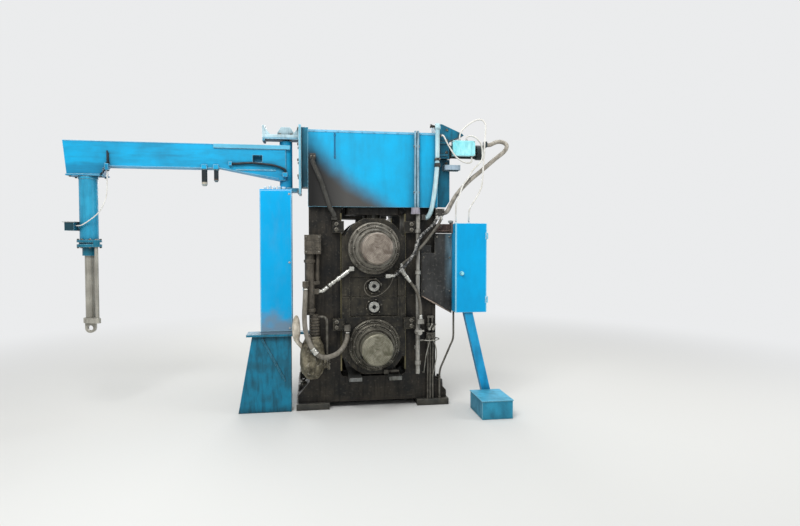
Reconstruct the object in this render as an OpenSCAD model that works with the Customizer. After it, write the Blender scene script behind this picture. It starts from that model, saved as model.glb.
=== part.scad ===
// Four-high rolling mill stand with its roll-change jib, guards and boxes.
// X runs with the strip, Y runs along the rolls away from the front, Z is up.
// The origin is on the floor, under the middle of the rolls.

/* [Roll stack] */
// Height of the pass line above the floor
pass_z = 1085; // [1050:5:1120]
// Diameter of each work roll
work_d = 200; // [190:2:210]
// Diameter of each backup roll
backup_d = 530; // [510:2:540]
// Length of the roll barrels
barrel_l = 600; // [560:10:620]
// Gap between the work rolls
roll_gap = 2; // [1:0.5:4]
// Diameter of the backup roll necks
backup_neck_d = 300; // [260:5:320]
// Diameter of the work roll necks
work_neck_d = 110; // [90:2:120]
// Diameter of the driven work roll ends
drive_end_d = 90; // [80:2:96]
// Height that the upper rolls lift
gap_travel = 35; // [20:1:40]

/* [Housings] */
// Width of the window in each housing
window_w = 640; // [620:5:680]
// Width of each housing post
post_w = 300; // [260:5:320]
// Thickness of each housing along the rolls
housing_t = 300; // [260:5:340]
// Distance between the two housings
housing_space = 680; // [660:5:720]
// Height of the window sill
sill_z = 300; // [260:5:310]
// Height of the top of the window
window_top_z = 1947; // [1940:1:1990]
// Height of the top of the housings
housing_top_z = 2600; // [2500:10:2640]
// Thickness of the sole plates
sole_t = 60; // [40:5:80]
// Radius of the anchor bolt holes
anchor_r = 17; // [12:0.5:22]
// Thickness of the window liners
liner_t = 12; // [8:1:16]

/* [Chocks] */
// Depth of the chocks along the rolls
chock_t = 355; // [320:5:380]
// Radius of the round shoulder of a backup chock
chock_r = 300; // [290:5:310]
// Width of the work roll chocks
work_chock_w = 470; // [440:5:490]
// Height of one work roll chock
work_chock_h = 185; // [176:1:195]
// Radius of the flange of the chock end caps
cap_flange_r = 250; // [230:5:260]
// Radius of the long nose of the front end caps
cap_nose_r = 147; // [130:1:160]
// Length of the front end caps
cap_l = 310; // [260:5:340]

/* [Front hood] */
// Width of the hood on the front housing
hood_w = 1250; // [1200:10:1280]
// Height of the hood
hood_h = 723; // [680:1:760]
// Depth of the hood
hood_d = 60; // [40:5:80]
// Thickness of the hood sheet
hood_sheet = 6; // [4:1:10]

/* [Jib] */
// Distance from the jib's pivot to its lifting cylinder
jib_reach = 1800; // [1600:10:1900]
// Depth of the jib's box beam
beam_h = 225; // [200:5:240]
// Width of the jib's box beam
beam_w = 150; // [130:5:170]
// Height of the underside of the box beam
beam_z = 2310; // [2290:5:2330]
// Radius of the jib's pivot pin
pin_r = 32; // [28:1:38]
// Outer radius of the lifting cylinder
cyl_r = 79; // [74:1:84]
// Radius of the lifting rod
rod_r = 42; // [36:1:46]
// Travel of the lifting rod
lift_travel = 450; // [300:10:450]

/* [Boxes] */
// Width of the tall enclosure
tall_w = 295; // [260:5:300]
// Height of the bottom of the tall enclosure
tall_z = 745; // [700:5:780]
// Height of the top of the tall enclosure
tall_top_z = 2105; // [2000:5:2110]
// Width of the junction box
jbox_w = 310; // [280:5:330]
// Height of the junction box
jbox_h = 855; // [800:5:900]
// Depth of the junction box behind its door
jbox_d = 150; // [120:5:170]
// Thickness of the junction box's sheet
jbox_sheet = 3; // [2:0.5:4]
// Thickness of the junction box door
door_t = 18; // [12:1:22]

/* [Hoses] */
// Diameter of the large hose at the lower left
big_hose_d = 45; // [38:1:48]
// Diameter of the hoses to the upper chocks
chock_hose_d = 28; // [22:1:30]
// Diameter of the motor conduit
conduit_d = 44; // [36:1:46]
// Diameter of the cables of the junction box
cable_d = 13; // [8:1:16]

/* [Hidden] */
$fn = 64;

fit = 0.05;
seat = 0.3;
clear = 5;
eps = 1;

housing_in = housing_space / 2;
housing_out = housing_in + housing_t;
half_w = window_w / 2 + post_w;
chock_in = housing_in + clear;
chock_out = chock_in + chock_t;
chock_half = window_w / 2 - liner_t - 0.5;

top_work_z = pass_z + roll_gap / 2 + work_d / 2;
bottom_work_z = pass_z - roll_gap / 2 - work_d / 2;
top_backup_z = top_work_z + work_d / 2 + seat + backup_d / 2;
bottom_backup_z = bottom_work_z - work_d / 2 - seat - backup_d / 2;
chock_flat = bottom_backup_z - sill_z - 34;
leg_gap = 8;
recess_h = work_chock_h + leg_gap / 2;

plunger_r = 90;
plunger_engaged = 25;
hood_top_z = window_top_z + hood_h;
hood_front = housing_out + clear + hood_d;

jib_x = -835;
jib_y = -470;
jib_lower_lug_z = 2095;
jib_lug_t = 40;
jib_hub_r = 61;
jib_hub_z = jib_lower_lug_z + jib_lug_t + seat;
jib_hub_top = 2585;
jib_upper_lug_z = 2600;
plate_x = -700;
plate_t = 24;
plate_low = 2073;
plate_high = 2735;
lift_x = jib_x - jib_reach;
jib_front = jib_y - beam_w / 2;
jib_root_z = jib_hub_z + 70;
end_box_z = 2218;
cyl_bottom = 1630;
cyl_flange_t = 65;
gland_bottom = 1485;
guide_x = 80;
guide_y = -62;
guide_r = 16;
rod_top = end_box_z - 35 - lift_travel;
rod_bottom = gland_bottom - 175 - lift_travel;

tall_x = -1070;
tall_back = -565;
tall_front = tall_back - 155;

jbox_x = half_w + 150;
jbox_z = 935;
jbox_top = jbox_z + jbox_h;
jbox_back = -682;
jbox_front = jbox_back - jbox_d;
door_hinge_x = jbox_x + jbox_w + 6;
leg_back = -762;
leg_t = 70;

actuator_x = -half_w + 36;
actuator_y = -housing_out - 120;
actuator_tube_x = actuator_x - 28;
pipe_y = -housing_out - 95;
riser_x = 424;
hose_port_x = 45.5 - chock_half;

gear_z = 2440;
gear_w = 140;
gear_top = 2775;
gear_front = -620;
gear_back = -420;
motor_x = half_w + gear_w + seat;
motor_y = (gear_front + gear_back) / 2;
motor_z = gear_z + 80;
motor_body_l = 300;
motor_tail = motor_x + 378;
gland_r = 11;
terminal_z = 2470;
terminal_h = 140;

// Routes of the hoses, cables and bent pipes, as points along their centre lines.
left_hose_route = [[-652, -832, 1197], [-652, -832, 1150], [-656, -846, 1060], [-662, -872, 920],
                   [-650, -900, 790], [-604, -914, 660], [-535, -914, 572], [-460, -900, 550],
                   [-365, -880, 577], [-300, -835, 635], [hose_port_x - 4, -780, 695],
                   [hose_port_x, -750, 735], [hose_port_x, -750, 767]];
left_chock_route = [[-380, -745, 1238], [-420, -745, 1208], [-466, -752, 1170],
                    [-500, -760, 1148], [-529, -760, 1148]];
right_chock_route = [[322, -745, 1260], [352, -745, 1220], [392, -764, 1160], [424, -786, 1080],
                     [440, -792, 970], [440, -792, 900], [440, -792, 868]];
braided_route = [[half_w - 8, -735, 1869], [half_w - 8, -735, 1845], [580, -748, 1790],
                 [520, -768, 1735],
                 [456, -790, 1684], [400, -808, 1599], [384, -814, 1529], [330, -815, 1440],
                 [270, -812, 1372], [215, -800, 1315], [175, -790, 1290], [145, -790, 1290]];
grey_route = [[half_w + 35, -735, 1869], [half_w + 35, -735, 1845], [628, -745, 1790],
              [560, -760, 1699],
              [484, -774, 1606], [412, -778, 1528], [350, -770, 1462], [300, -758, 1425],
              [264, -745, 1395], [262, -745, 1380], [262, -745, 1361]];
loop_route = [[239, -750, 1335], [215, -750, 1335], [192, -750, 1312], [175, -750, 1262],
              [150, -750, 1200], [110, -748, 1150], [60, -745, 1112], [10, -745, 1092],
              [-45, -745, 1096], [-84, -745, 1130], [-98, -745, 1176], [-84, -745, 1222],
              [-45, -745, 1250], [5, -745, 1255], [46, -745, 1232], [66, -745, 1190]];
cable_a_route = [[jbox_x + 32, -730, 1805], [jbox_x + 32, -730, 1840], [806, -730, 1986],
                 [832, -725, 2043],
                 [876, -710, 2162], [938, -690, 2243], [991, -670, 2326], [1082, -650, 2421],
                 [1092, -650, 2510], [1076, -648, 2590], [1030, -646, 2645], [975, -645, 2664],
                 [938, -645, 2655], [half_w + 310, -645, 2640], [half_w + 310, -645, 2625]];
cable_b_route = [[jbox_x + 154, -760, 1805], [jbox_x + 154, -760, 1840], [935, -760, 1938],
                 [1008, -755, 2057],
                 [1042, -750, 2121], [1065, -742, 2201], [1084, -732, 2471], [1095, -722, 2601],
                 [1109, -700, 2721], [1105, -690, 2786], [1068, -672, 2822], [1000, -660, 2808],
                 [920, -650, 2752], [872, -645, 2695], [half_w + 240, -645, 2650],
                 [half_w + 240, -645, 2625]];
cable_d_route = [[650, -735, 2640], [675, -735, 2640], [720, -732, 2560], [798, -722, 2450],
                 [880, -700, 2400], [950, -660, 2395], [984, -642, 2412],
                 [half_w + 365, -640, 2435], [half_w + 365, -640, 2455]];
conduit_route = [[motor_tail + 27.7, -545, 2600], [motor_tail + 67, -545, 2600],
                 [1272, -562, 2628], [1332, -585, 2620],
                 [1363, -600, 2582], [1330, -610, 2522], [1239, -620, 2450], [1100, -640, 2335],
                 [946, -660, 2210], [829, -672, 2086], [765, -688, 1985], [730, -698, 1922],
                 [half_w + 86, -700, 1900], [half_w + 61, -700, 1900]];
hood_pipe_route = [[615, -735, 2735], [615, -735, 2560], [612, -735, 2360], [590, -735, 2120],
                   [562, -735, 1950], [546, -728, 1893], [528, -712, 1860], [518, -705, 1850],
                   [499, -705, 1850]];
strut_route = [[-578, -735, 2389], [-578, -735, 2365], [-556, -735, 2310], [-493, -735, 2157],
               [-430, -735, 1962], [-396, -735, 1895], [-380, -735, 1862], [-380, -735, 1841]];
elbow_route = [[-519, -760, 905], [-490, -760, 905], [-464, -760, 890], [-455, -760, 850],
               [-455, -760, 740], [-455, -760, 600], [-455, -760, 546]];
drain_route = [[jbox_x + 27, -665, 985], [jbox_x + 27, -665, 950], [797, -667, 800], [794, -668, 660],
               [760, -670, 575], [700, -672, 440], [662, -672, 345], [655, -672, 250],
               [655, -672, 130], [655, -672, 61]];
jib_hose_route = [[-1334, -562, 2352], [-1300, -562, 2352], [-1149, -565, 2362],
                  [-972, -565, 2347], [-885, -563, 2325], [-840, -562, 2302], [-840, -562, 2275]];
jib_cable_route = [[-2440, -562, 2270], [-2440, -562, 2230], [-2446, -566, 2048],
                   [-2480, -572, 1941], [-2525, -574, 1869], [-2600, -574, 1805],
                   [-2660, -566, 1768], [-2690, -560, 1760], [-2719, -560, 1760]];

// A point of the list, held at its ends, and the smooth curve through all its points.
function knot(p, i) = p[max(0, min(len(p) - 1, i))];
function curve_point(a, b, c, d, t) =
    0.5 * (2 * b + (c - a) * t + (2 * a - 5 * b + 4 * c - d) * t * t
           + (3 * b - a - 3 * c + d) * t * t * t);
function smooth(p, n) =
    [for (i = [0:len(p) - 2]) for (k = [0:n - 1])
         curve_point(knot(p, i - 1), p[i], p[i + 1], knot(p, i + 2), k / n), p[len(p) - 1]];
function unit(v) = v / norm(v);
function last(p) = p[len(p) - 1];

// Points just off both ends of a route, where its fittings stop.
function before(route) = route[0] - seat * unit(route[1] - route[0]);
function after(route) = last(route) + seat * unit(last(route) - route[len(route) - 2]);

left_port = left_chock_route[0] + [160, 0, 120];
right_port = right_chock_route[0] + [-60, 0, 80];

// A bar of the given outline in X and Z, running from y0 to y1.
module along_y(y0, y1) {
    translate([0, y1, 0]) rotate([90, 0, 0]) linear_extrude(y1 - y0) children();
}

// A round bar along Y.
module bar_y(r, y0, y1) {
    translate([0, y0, 0]) rotate([-90, 0, 0]) cylinder(r = r, h = y1 - y0);
}

// A box between two corners.
module block(a, b) {
    translate(a) cube(b - a);
}

// A round bar from one point to another.
module rod(a, b, r) {
    v = b - a;
    translate(a) rotate([0, acos(v[2] / norm(v)), atan2(v[1], v[0])]) cylinder(r = r, h = norm(v));
}

// A hose or bent pipe swept along the smooth curve through its route.
module tube(route, d, sides = 10, per = 3) {
    p = smooth(route, per);
    n = len(p) - 1;
    rings = [for (i = [0:n])
        let (t = i == 0 ? unit(route[1] - route[0])
                 : i == n ? unit(last(route) - route[len(route) - 2]) : unit(p[i + 1] - p[i - 1]),
             across = unit(cross([0, 1, 0], t)),
             over = cross(t, across))
        for (k = [0:sides - 1])
            p[i] + d / 2 * (cos(360 * k / sides) * across + sin(360 * k / sides) * over)];
    walls = [for (i = [0:n - 1]) for (k = [0:sides - 1])
        let (a = i * sides + k, b = i * sides + (k + 1) % sides) [a, a + sides, b + sides, b]];
    polyhedron(rings, concat([[for (k = [0:sides - 1]) k]], walls,
                             [[for (k = [sides - 1:-1:0]) n * sides + k]]));
}

// A quick coupling along a line: a barrel, a wide sleeve and a nut.
module coupling(a, b, r) {
    rod(a, b, 0.8 * r);
    rod(a + 0.2 * (b - a), a + 0.6 * (b - a), r);
    rod(a + 0.7 * (b - a), a + 0.86 * (b - a), 1.12 * r);
}

// Both ends of something that is symmetric front to back.
module both_ends() {
    children();
    mirror([0, 1, 0]) children();
}

// Both sides of something that is symmetric left to right.
module both_sides() {
    children();
    mirror([1, 0, 0]) children();
}

// A rectangle with round corners, made of plain shapes so that it stays exact.
module round_rect(a, b, r) {
    translate([a[0] + r, a[1]]) square([b[0] - a[0] - 2 * r, b[1] - a[1]]);
    translate([a[0], a[1] + r]) square([b[0] - a[0], b[1] - a[1] - 2 * r]);
    for (x = [a[0] + r, b[0] - r]) for (y = [a[1] + r, b[1] - r]) translate([x, y]) circle(r);
}

module housing_outline() {
    foot = 110;
    foot_h = 70;
    shoulder = 120;
    flare_z = 260;
    difference() {
        polygon([[-half_w - foot, sole_t], [-half_w - foot, sole_t + foot_h], [-half_w, flare_z],
                 [-half_w, housing_top_z - shoulder], [-half_w + shoulder, housing_top_z],
                 [half_w - shoulder, housing_top_z], [half_w, housing_top_z - shoulder],
                 [half_w, flare_z], [half_w + foot, sole_t + foot_h], [half_w + foot, sole_t]]);
        round_rect([-window_w / 2, sill_z], [window_w / 2, window_top_z], 50);
    }
}

module housing(y0, y1) {
    pocket_h = plunger_engaged + gap_travel + 40;
    color("#2f3230") difference() {
        along_y(y0, y1) housing_outline();
        translate([0, (y0 + y1) / 2, window_top_z - eps])
            cylinder(r = plunger_r + 2, h = pocket_h);
        for (x = [-half_w - 60, half_w + 60])
            translate([x, (y0 + y1) / 2, 0]) cylinder(r = anchor_r, h = 400);
    }
}

module operator_housing() {
    housing(-housing_out, -housing_in);
}

module drive_housing() {
    housing(housing_in, housing_out);
}

module sole_plates() {
    color("#3a3d3c") both_sides() difference() {
        block([half_w - 190, -housing_out - 50, 0], [half_w + 125, housing_out + 50, sole_t]);
        for (y = [-1, 1]) translate([half_w + 60, y * (housing_in + housing_t / 2), -eps])
            cylinder(r = anchor_r, h = sole_t + 2 * eps);
    }
}

module upper_ties() {
    color("#1d7fb0") both_sides()
        along_y(-housing_in, housing_in)
            difference() {
                round_rect([window_w / 2 + 40, 2120], [half_w - 20, 2480], 20);
                round_rect([window_w / 2 + 65, 2145], [half_w - 45, 2455], 10);
            }
}

module lower_ties() {
    color("#33403f") both_sides()
        along_y(-housing_in, housing_in) round_rect([window_w / 2 + 60, 90], [half_w - 20, 380], 20);
}

module window_liners() {
    color("#7d7a66") both_ends() both_sides()
        block([window_w / 2 - liner_t, housing_in, sill_z + 60],
              [window_w / 2, housing_out + 6, window_top_z - 60]);
}

module chock_rails() {
    color("#4a4d4c") both_sides()
        block([130, -housing_out - 210, sill_z], [250, housing_out, bottom_backup_z - chock_flat]);
}

module keeper_plates() {
    keeper_h = 110;
    base_w = 75;
    color("#4c4f4b") both_sides()
        for (z = [top_backup_z + 150, bottom_backup_z + 150]) difference() {
            block([chock_half - 18, -chock_out - clear - 26, z],
                  [window_w / 2 + base_w, -housing_out, z + keeper_h]);
            block([chock_half - 19, -chock_out - clear, z - eps],
                  [window_w / 2 + 6, -housing_out + eps, z + keeper_h + eps]);
        }
}

// The cylinder blocks under the windows' tops, clear of the chocks when those are lifted.
module gap_cylinders() {
    block_half = window_w / 2 - 55;
    block_in = 12;
    low = top_backup_z + chock_flat + gap_travel + clear + 1;
    color("#5a5e60") both_ends() difference() {
        translate([0, 0, low]) linear_extrude(window_top_z - low)
            round_rect([-block_half, housing_in + block_in], [block_half, housing_out - block_in], 30);
        translate([0, housing_in + housing_t / 2, low - eps])
            cylinder(r = plunger_r + fit, h = window_top_z - low + 2 * eps);
    }
}

module gap_plungers() {
    plunger_l = window_top_z - top_backup_z - chock_flat + plunger_engaged;
    color("#a9adb0") both_ends()
        translate([0, housing_in + housing_t / 2, top_backup_z + chock_flat])
            cylinder(r = plunger_r, h = plunger_l);
}

// Half of a backup chock's outline above the roll axis, with its round shoulder and legs.
module backup_chock_outline(leg_z) {
    difference() {
        union() {
            intersection() {
                circle(chock_r);
                translate([-chock_half, 0]) square([2 * chock_half, chock_flat]);
            }
            translate([-chock_half, leg_z]) square([2 * chock_half, -leg_z + 120]);
        }
        translate([-work_chock_w / 2 - seat, leg_z - eps])
            square([work_chock_w + 2 * seat, recess_h + eps]);
        circle(backup_neck_d / 2 + fit);
    }
}

module backup_chocks(z, up) {
    leg_z = -(abs(z - pass_z) - leg_gap / 2);
    color("#474a44") both_ends() translate([0, 0, z]) mirror([0, 0, up ? 0 : 1])
        along_y(chock_in, chock_out) backup_chock_outline(leg_z);
}

module top_backup_chocks() {
    backup_chocks(top_backup_z, true);
}

module bottom_backup_chocks() {
    backup_chocks(bottom_backup_z, false);
}

module work_chocks(z, up) {
    near = 2 - work_d / 2;
    color("#3c403d") both_ends() translate([0, 0, z]) mirror([0, 0, up ? 0 : 1])
        along_y(chock_in, chock_out - 15) difference() {
            round_rect([-work_chock_w / 2, near], [work_chock_w / 2, near + work_chock_h - 2], 8);
            circle(work_neck_d / 2 + fit);
        }
}

module top_work_chocks() {
    work_chocks(top_work_z, true);
}

module bottom_work_chocks() {
    work_chocks(bottom_work_z, false);
}

// Stepped front cap with its long nose, and the flat cap at the drive side.
module end_caps(z) {
    flange_t = 28;
    step_r = 215;
    inner_r = 186;
    color("#85837b") translate([0, 0, z]) {
        translate([0, -chock_out, 0]) rotate([90, 0, 0]) rotate_extrude($fn = 96)
            polygon([[0, 0], [cap_flange_r, 0], [cap_flange_r, flange_t],
                     [cap_flange_r - 12, flange_t + 8], [step_r + 6, flange_t + 8],
                     [step_r, flange_t + 14], [step_r, flange_t + 66],
                     [step_r - 10, flange_t + 76], [inner_r, flange_t + 76],
                     [inner_r, flange_t + 120], [inner_r - 14, flange_t + 134],
                     [cap_nose_r, flange_t + 134], [cap_nose_r, cap_l - 12],
                     [cap_nose_r - 12, cap_l], [0, cap_l]]);
        translate([0, chock_out, 0]) rotate([-90, 0, 0]) rotate_extrude($fn = 96)
            polygon([[0, 0], [cap_flange_r, 0], [cap_flange_r, flange_t],
                     [cap_flange_r - 10, flange_t + 8], [step_r, flange_t + 8],
                     [step_r - 12, flange_t + 30], [0, flange_t + 30]]);
    }
}

module top_end_caps() {
    end_caps(top_backup_z);
}

module bottom_end_caps() {
    end_caps(bottom_backup_z);
}

// A roll turned about Y, drawn as half of its profile and spun.
module backup_roll(z) {
    journal = chock_out - 4;
    color("#9aa0a2") translate([0, 0, z]) rotate([-90, 0, 0]) rotate_extrude($fn = 96)
        polygon([[0, -journal], [backup_neck_d / 2 - 6, -journal],
                 [backup_neck_d / 2, -journal + 6], [backup_neck_d / 2, -chock_in + 10],
                 [backup_neck_d / 2 + 24, -barrel_l / 2 - 14], [backup_neck_d / 2 + 24, -barrel_l / 2],
                 [backup_d / 2 - 5, -barrel_l / 2], [backup_d / 2, -barrel_l / 2 + 5],
                 [backup_d / 2, barrel_l / 2 - 5], [backup_d / 2 - 5, barrel_l / 2],
                 [backup_neck_d / 2 + 24, barrel_l / 2], [backup_neck_d / 2 + 24, barrel_l / 2 + 14],
                 [backup_neck_d / 2, chock_in - 10], [backup_neck_d / 2, journal - 6],
                 [backup_neck_d / 2 - 6, journal], [0, journal]]);
}

module work_roll(z) {
    front = chock_out + 12;
    shoulder = chock_out + 60;
    tail = chock_out + 230;
    centre_r = 19;
    color("#b3b7b8") translate([0, 0, z]) rotate([-90, 0, 0]) rotate_extrude($fn = 72)
        polygon([[0, -front + 60], [centre_r, -front + 50], [centre_r, -front],
                 [work_neck_d / 2 - 5, -front], [work_neck_d / 2, -front + 5],
                 [work_neck_d / 2, -chock_in + 10], [work_neck_d / 2 + 18, -barrel_l / 2 - 12],
                 [work_neck_d / 2 + 18, -barrel_l / 2], [work_d / 2 - 3, -barrel_l / 2],
                 [work_d / 2, -barrel_l / 2 + 3], [work_d / 2, barrel_l / 2 - 3],
                 [work_d / 2 - 3, barrel_l / 2], [work_neck_d / 2 + 18, barrel_l / 2],
                 [work_neck_d / 2 + 18, barrel_l / 2 + 12], [work_neck_d / 2, chock_in - 10],
                 [work_neck_d / 2, shoulder], [drive_end_d / 2, shoulder + 6],
                 [drive_end_d / 2, tail - 5], [drive_end_d / 2 - 5, tail], [0, tail]]);
}

module top_backup_roll() {
    backup_roll(top_backup_z);
}

module bottom_backup_roll() {
    backup_roll(bottom_backup_z);
}

module top_work_roll() {
    work_roll(top_work_z);
}

module bottom_work_roll() {
    work_roll(bottom_work_z);
}

// A strip table: a top plate on two cross beams that reach from housing to housing.
module strip_table() {
    top = pass_z - 30;
    near = work_d / 2 + 55;
    far = half_w + 60;
    color("#5d6163") {
        block([near, -housing_in + 40, top - 12], [far, housing_in - 40, top]);
        for (x = [near + 160, far - 130])
            block([x, -housing_in, top - 112], [x + 60, housing_in, top - 12]);
        for (y = [-housing_in + 60, housing_in - 80])
            block([near + 60, y, top], [far - 20, y + 20, top + 60]);
    }
}

module entry_table() {
    mirror([1, 0, 0]) strip_table();
}

module exit_table() {
    strip_table();
}

// Coolant headers across the rolls, carried on arms from the housings' inner faces.
module spray_headers() {
    header_x = 300;
    header_r = 24;
    header_z = pass_z + 175;
    color("#7f8688") both_sides() translate([header_x, 0, header_z]) {
        bar_y(header_r, -housing_in, housing_in);
        for (i = [-4:4]) translate([0, i * 60, 0]) rotate([0, -125, 0]) cylinder(r = 9, h = 48);
        both_ends() block([-10, housing_in - 14, -60], [110, housing_in, 60]);
    }
}

module front_hood() {
    color("#1fa3e0") difference() {
        block([-hood_w / 2, -hood_front, window_top_z], [hood_w / 2, -housing_out, hood_top_z]);
        block([-hood_w / 2 + hood_sheet, -hood_front + hood_sheet, window_top_z + hood_sheet],
              [hood_w / 2 - hood_sheet, -housing_out + eps, hood_top_z - hood_sheet]);
    }
}

module gear_case() {
    lid_l = 150;
    lid_low = terminal_z + terminal_h + clear;
    color("#1b6f92") {
        along_y(gear_front, gear_back)
            polygon([[half_w + seat, gear_z], [half_w + gear_w, gear_z], [half_w + gear_w, lid_low],
                     [half_w + gear_w + lid_l, lid_low + 57],
                     [half_w + gear_w + lid_l - 20, lid_low + 75],
                     [half_w + gear_w / 2, gear_top], [half_w + seat, gear_top]]);
        for (z = [gear_z + 24, lid_low - 30])
            block([half_w + 30, gear_front - 14, z], [half_w + gear_w - 12, gear_front, z + 18]);
    }
}

module gap_motor() {
    body_r = 56;
    fin_h = 8;
    cowl_r = 74;
    color("#3b3f42") {
        translate([motor_x, motor_y, motor_z]) rotate([0, 90, 0]) {
            cylinder(r = 72, h = 24);
            cylinder(r = body_r, h = motor_body_l + 10);
            for (i = [0:17]) rotate([0, 0, i * 20]) translate([body_r - 2, -2, 20])
                cube([fin_h + 2, 4, motor_body_l - 20]);
            translate([0, 0, motor_body_l]) difference() {
                cylinder(r = cowl_r, h = motor_tail - motor_x - motor_body_l);
                for (r = [18, 40]) translate([0, 0, motor_tail - motor_x - motor_body_l - 6])
                    difference() {
                        cylinder(r = r + 9, h = 10);
                        translate([0, 0, -eps]) cylinder(r = r, h = 12);
                    }
            }
        }
        block([motor_tail - eps, motor_y - 55, motor_z + 50], before(conduit_route) + [0, 30, 28]);
    }
}

module motor_terminal_box() {
    x0 = half_w + 172;
    front = -665;
    back = motor_y - 63.7;
    wide = 218;
    lid = 10;
    color("#35c4d8") {
        block([x0, front + lid, terminal_z], [x0 + wide, back, terminal_z + terminal_h]);
        block([x0 - 4, front, terminal_z - 4],
              [x0 + wide + 4, front + lid, terminal_z + terminal_h + 4]);
        for (route = [cable_a_route, cable_b_route])
            rod([last(route)[0], last(route)[1], terminal_z + terminal_h - eps], after(route), gland_r);
        rod([last(cable_d_route)[0], last(cable_d_route)[1], terminal_z + eps],
            after(cable_d_route), gland_r);
    }
}

module motor_bracket() {
    gusset_y = -560;
    gusset_t = 20;
    reach = 160;
    low = 1960;
    shelf_z = 2325;
    shelf_h = 50;
    color("#1c7299") {
        along_y(gusset_y, gusset_y + gusset_t)
            polygon([[half_w, low], [half_w + reach - 40, low], [half_w + reach, low + 60],
                     [half_w + reach, gear_z - 4], [half_w, gear_z - 4]]);
        difference() {
            block([half_w + 90, gusset_y - 80, shelf_z], [half_w + 250, gusset_y, shelf_z + shelf_h]);
            block([half_w + 100, gusset_y - 81, shelf_z - eps],
                  [half_w + 240, gusset_y - 10, shelf_z + shelf_h - 8]);
        }
        block([half_w, gusset_y + gusset_t - eps, gear_z - 60],
              [half_w + gear_w - 10, gusset_y + gusset_t + 100, gear_z - seat]);
    }
}

module jib_bracket() {
    back = jib_y + 130;
    front = jib_y - 130;
    wing_x = -1053;
    lug_w = 130;
    rib_t = 14;
    face = plate_x - plate_t / 2;
    lug_top = jib_upper_lug_z + jib_lug_t;
    color("#2aa9d9") {
        block([face, front, plate_low], [face + plate_t, back, plate_high]);
        block([face + plate_t - eps, front + 60, plate_low + 70], [-half_w, back - 40, plate_high - 12]);
        block([wing_x, jib_y - 90, jib_upper_lug_z], [face + eps, jib_y + 90, lug_top]);
        block([wing_x, jib_y - 90, jib_upper_lug_z - 20], [wing_x + 24, jib_y + 90, plate_high - 10]);
        translate([0, 0, jib_lower_lug_z]) linear_extrude(jib_lug_t) {
            translate([jib_x, jib_y - lug_w / 2]) square([face + eps - jib_x, lug_w]);
            translate([jib_x, jib_y]) circle(lug_w / 2);
        }
        along_y(jib_y - 55, jib_y + 55)
            polygon([[jib_x - 80, lug_top - eps], [jib_x - 80, lug_top + 22],
                     [jib_x - 44, lug_top + 78], [jib_x + 44, lug_top + 78],
                     [jib_x + 80, lug_top + 22], [jib_x + 80, lug_top - eps]]);
        for (y = [jib_y - 84, jib_y + 84 - rib_t]) {
            along_y(y, y + rib_t)
                polygon([[face + eps, lug_top - eps], [face + eps, plate_high - 15],
                         [face - 60, lug_top - eps]]);
            along_y(y, y + rib_t)
                polygon([[wing_x + 20, lug_top - eps], [wing_x + 20, plate_high - 25],
                         [wing_x + 75, lug_top - eps]]);
        }
        translate([jib_x, jib_y, jib_lower_lug_z - 20])
            cylinder(r = pin_r, h = jib_upper_lug_z - jib_lower_lug_z + 30);
    }
}

// The box beam in side view, with its deep end box and the wedge down to the hub.
module jib_outline() {
    beam_top = beam_z + beam_h;
    polygon([[lift_x - 188, beam_top + 4], [lift_x - 156, end_box_z], [lift_x + 150, end_box_z],
             [lift_x + 150, beam_z - 25], [lift_x + 175, beam_z], [jib_x - 650, beam_z],
             [jib_x - 650, beam_z + 10], [jib_x - 55, jib_root_z], [jib_x, jib_root_z],
             [jib_x, beam_top]]);
}

module jib_arm() {
    beam_top = beam_z + beam_h;
    lip_t = 38;
    lip_over = 12;
    hole = 65;
    lamps = [[lift_x + 1048, 26, 2150], [lift_x + 1155, 21, 2188]];
    color("#22a2dc") difference() {
        union() {
            along_y(jib_y - beam_w / 2, jib_y + beam_w / 2) jib_outline();
            translate([jib_x, jib_y, jib_hub_z]) cylinder(r = jib_hub_r, h = jib_hub_top - jib_hub_z);
            block([jib_x - 665, jib_front - lip_over, beam_top + 3 - lip_t],
                  [jib_x + 40, jib_front + beam_w + lip_over, beam_top + 3]);
            block([lift_x - 164, jib_front - 10, end_box_z],
                  [lift_x + 160, jib_front + beam_w + 10, end_box_z + 14]);
            for (lamp = lamps) {
                block([lamp[0] - 24, jib_front - 24, beam_z - 18],
                      [lamp[0] + 24, jib_front + 34, beam_z + 30]);
                translate([lamp[0], jib_front + 4, lamp[2]])
                    cylinder(r = lamp[1], h = beam_z - lamp[2]);
                translate([lamp[0], jib_front + 4, lamp[2] - 10]) cylinder(r = lamp[1] - 6, h = 20);
            }
            block(before(jib_hose_route) - [28, 18, 17], before(jib_hose_route) + [0, 25, 17]);
            block(after(jib_hose_route) - [22, 18, 38], after(jib_hose_route) + [22, 22, 0]);
            block(before(jib_cable_route) - [15, 18, 0], before(jib_cable_route) + [15, 25, 60]);
        }
        translate([jib_x, jib_y, jib_hub_z - eps]) cylinder(r = pin_r + fit, h = 600);
        block([jib_x - 310, jib_front - eps, beam_z + hole],
              [jib_x - 220, jib_front + 60, beam_z + 2 * hole]);
    }
}

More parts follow.
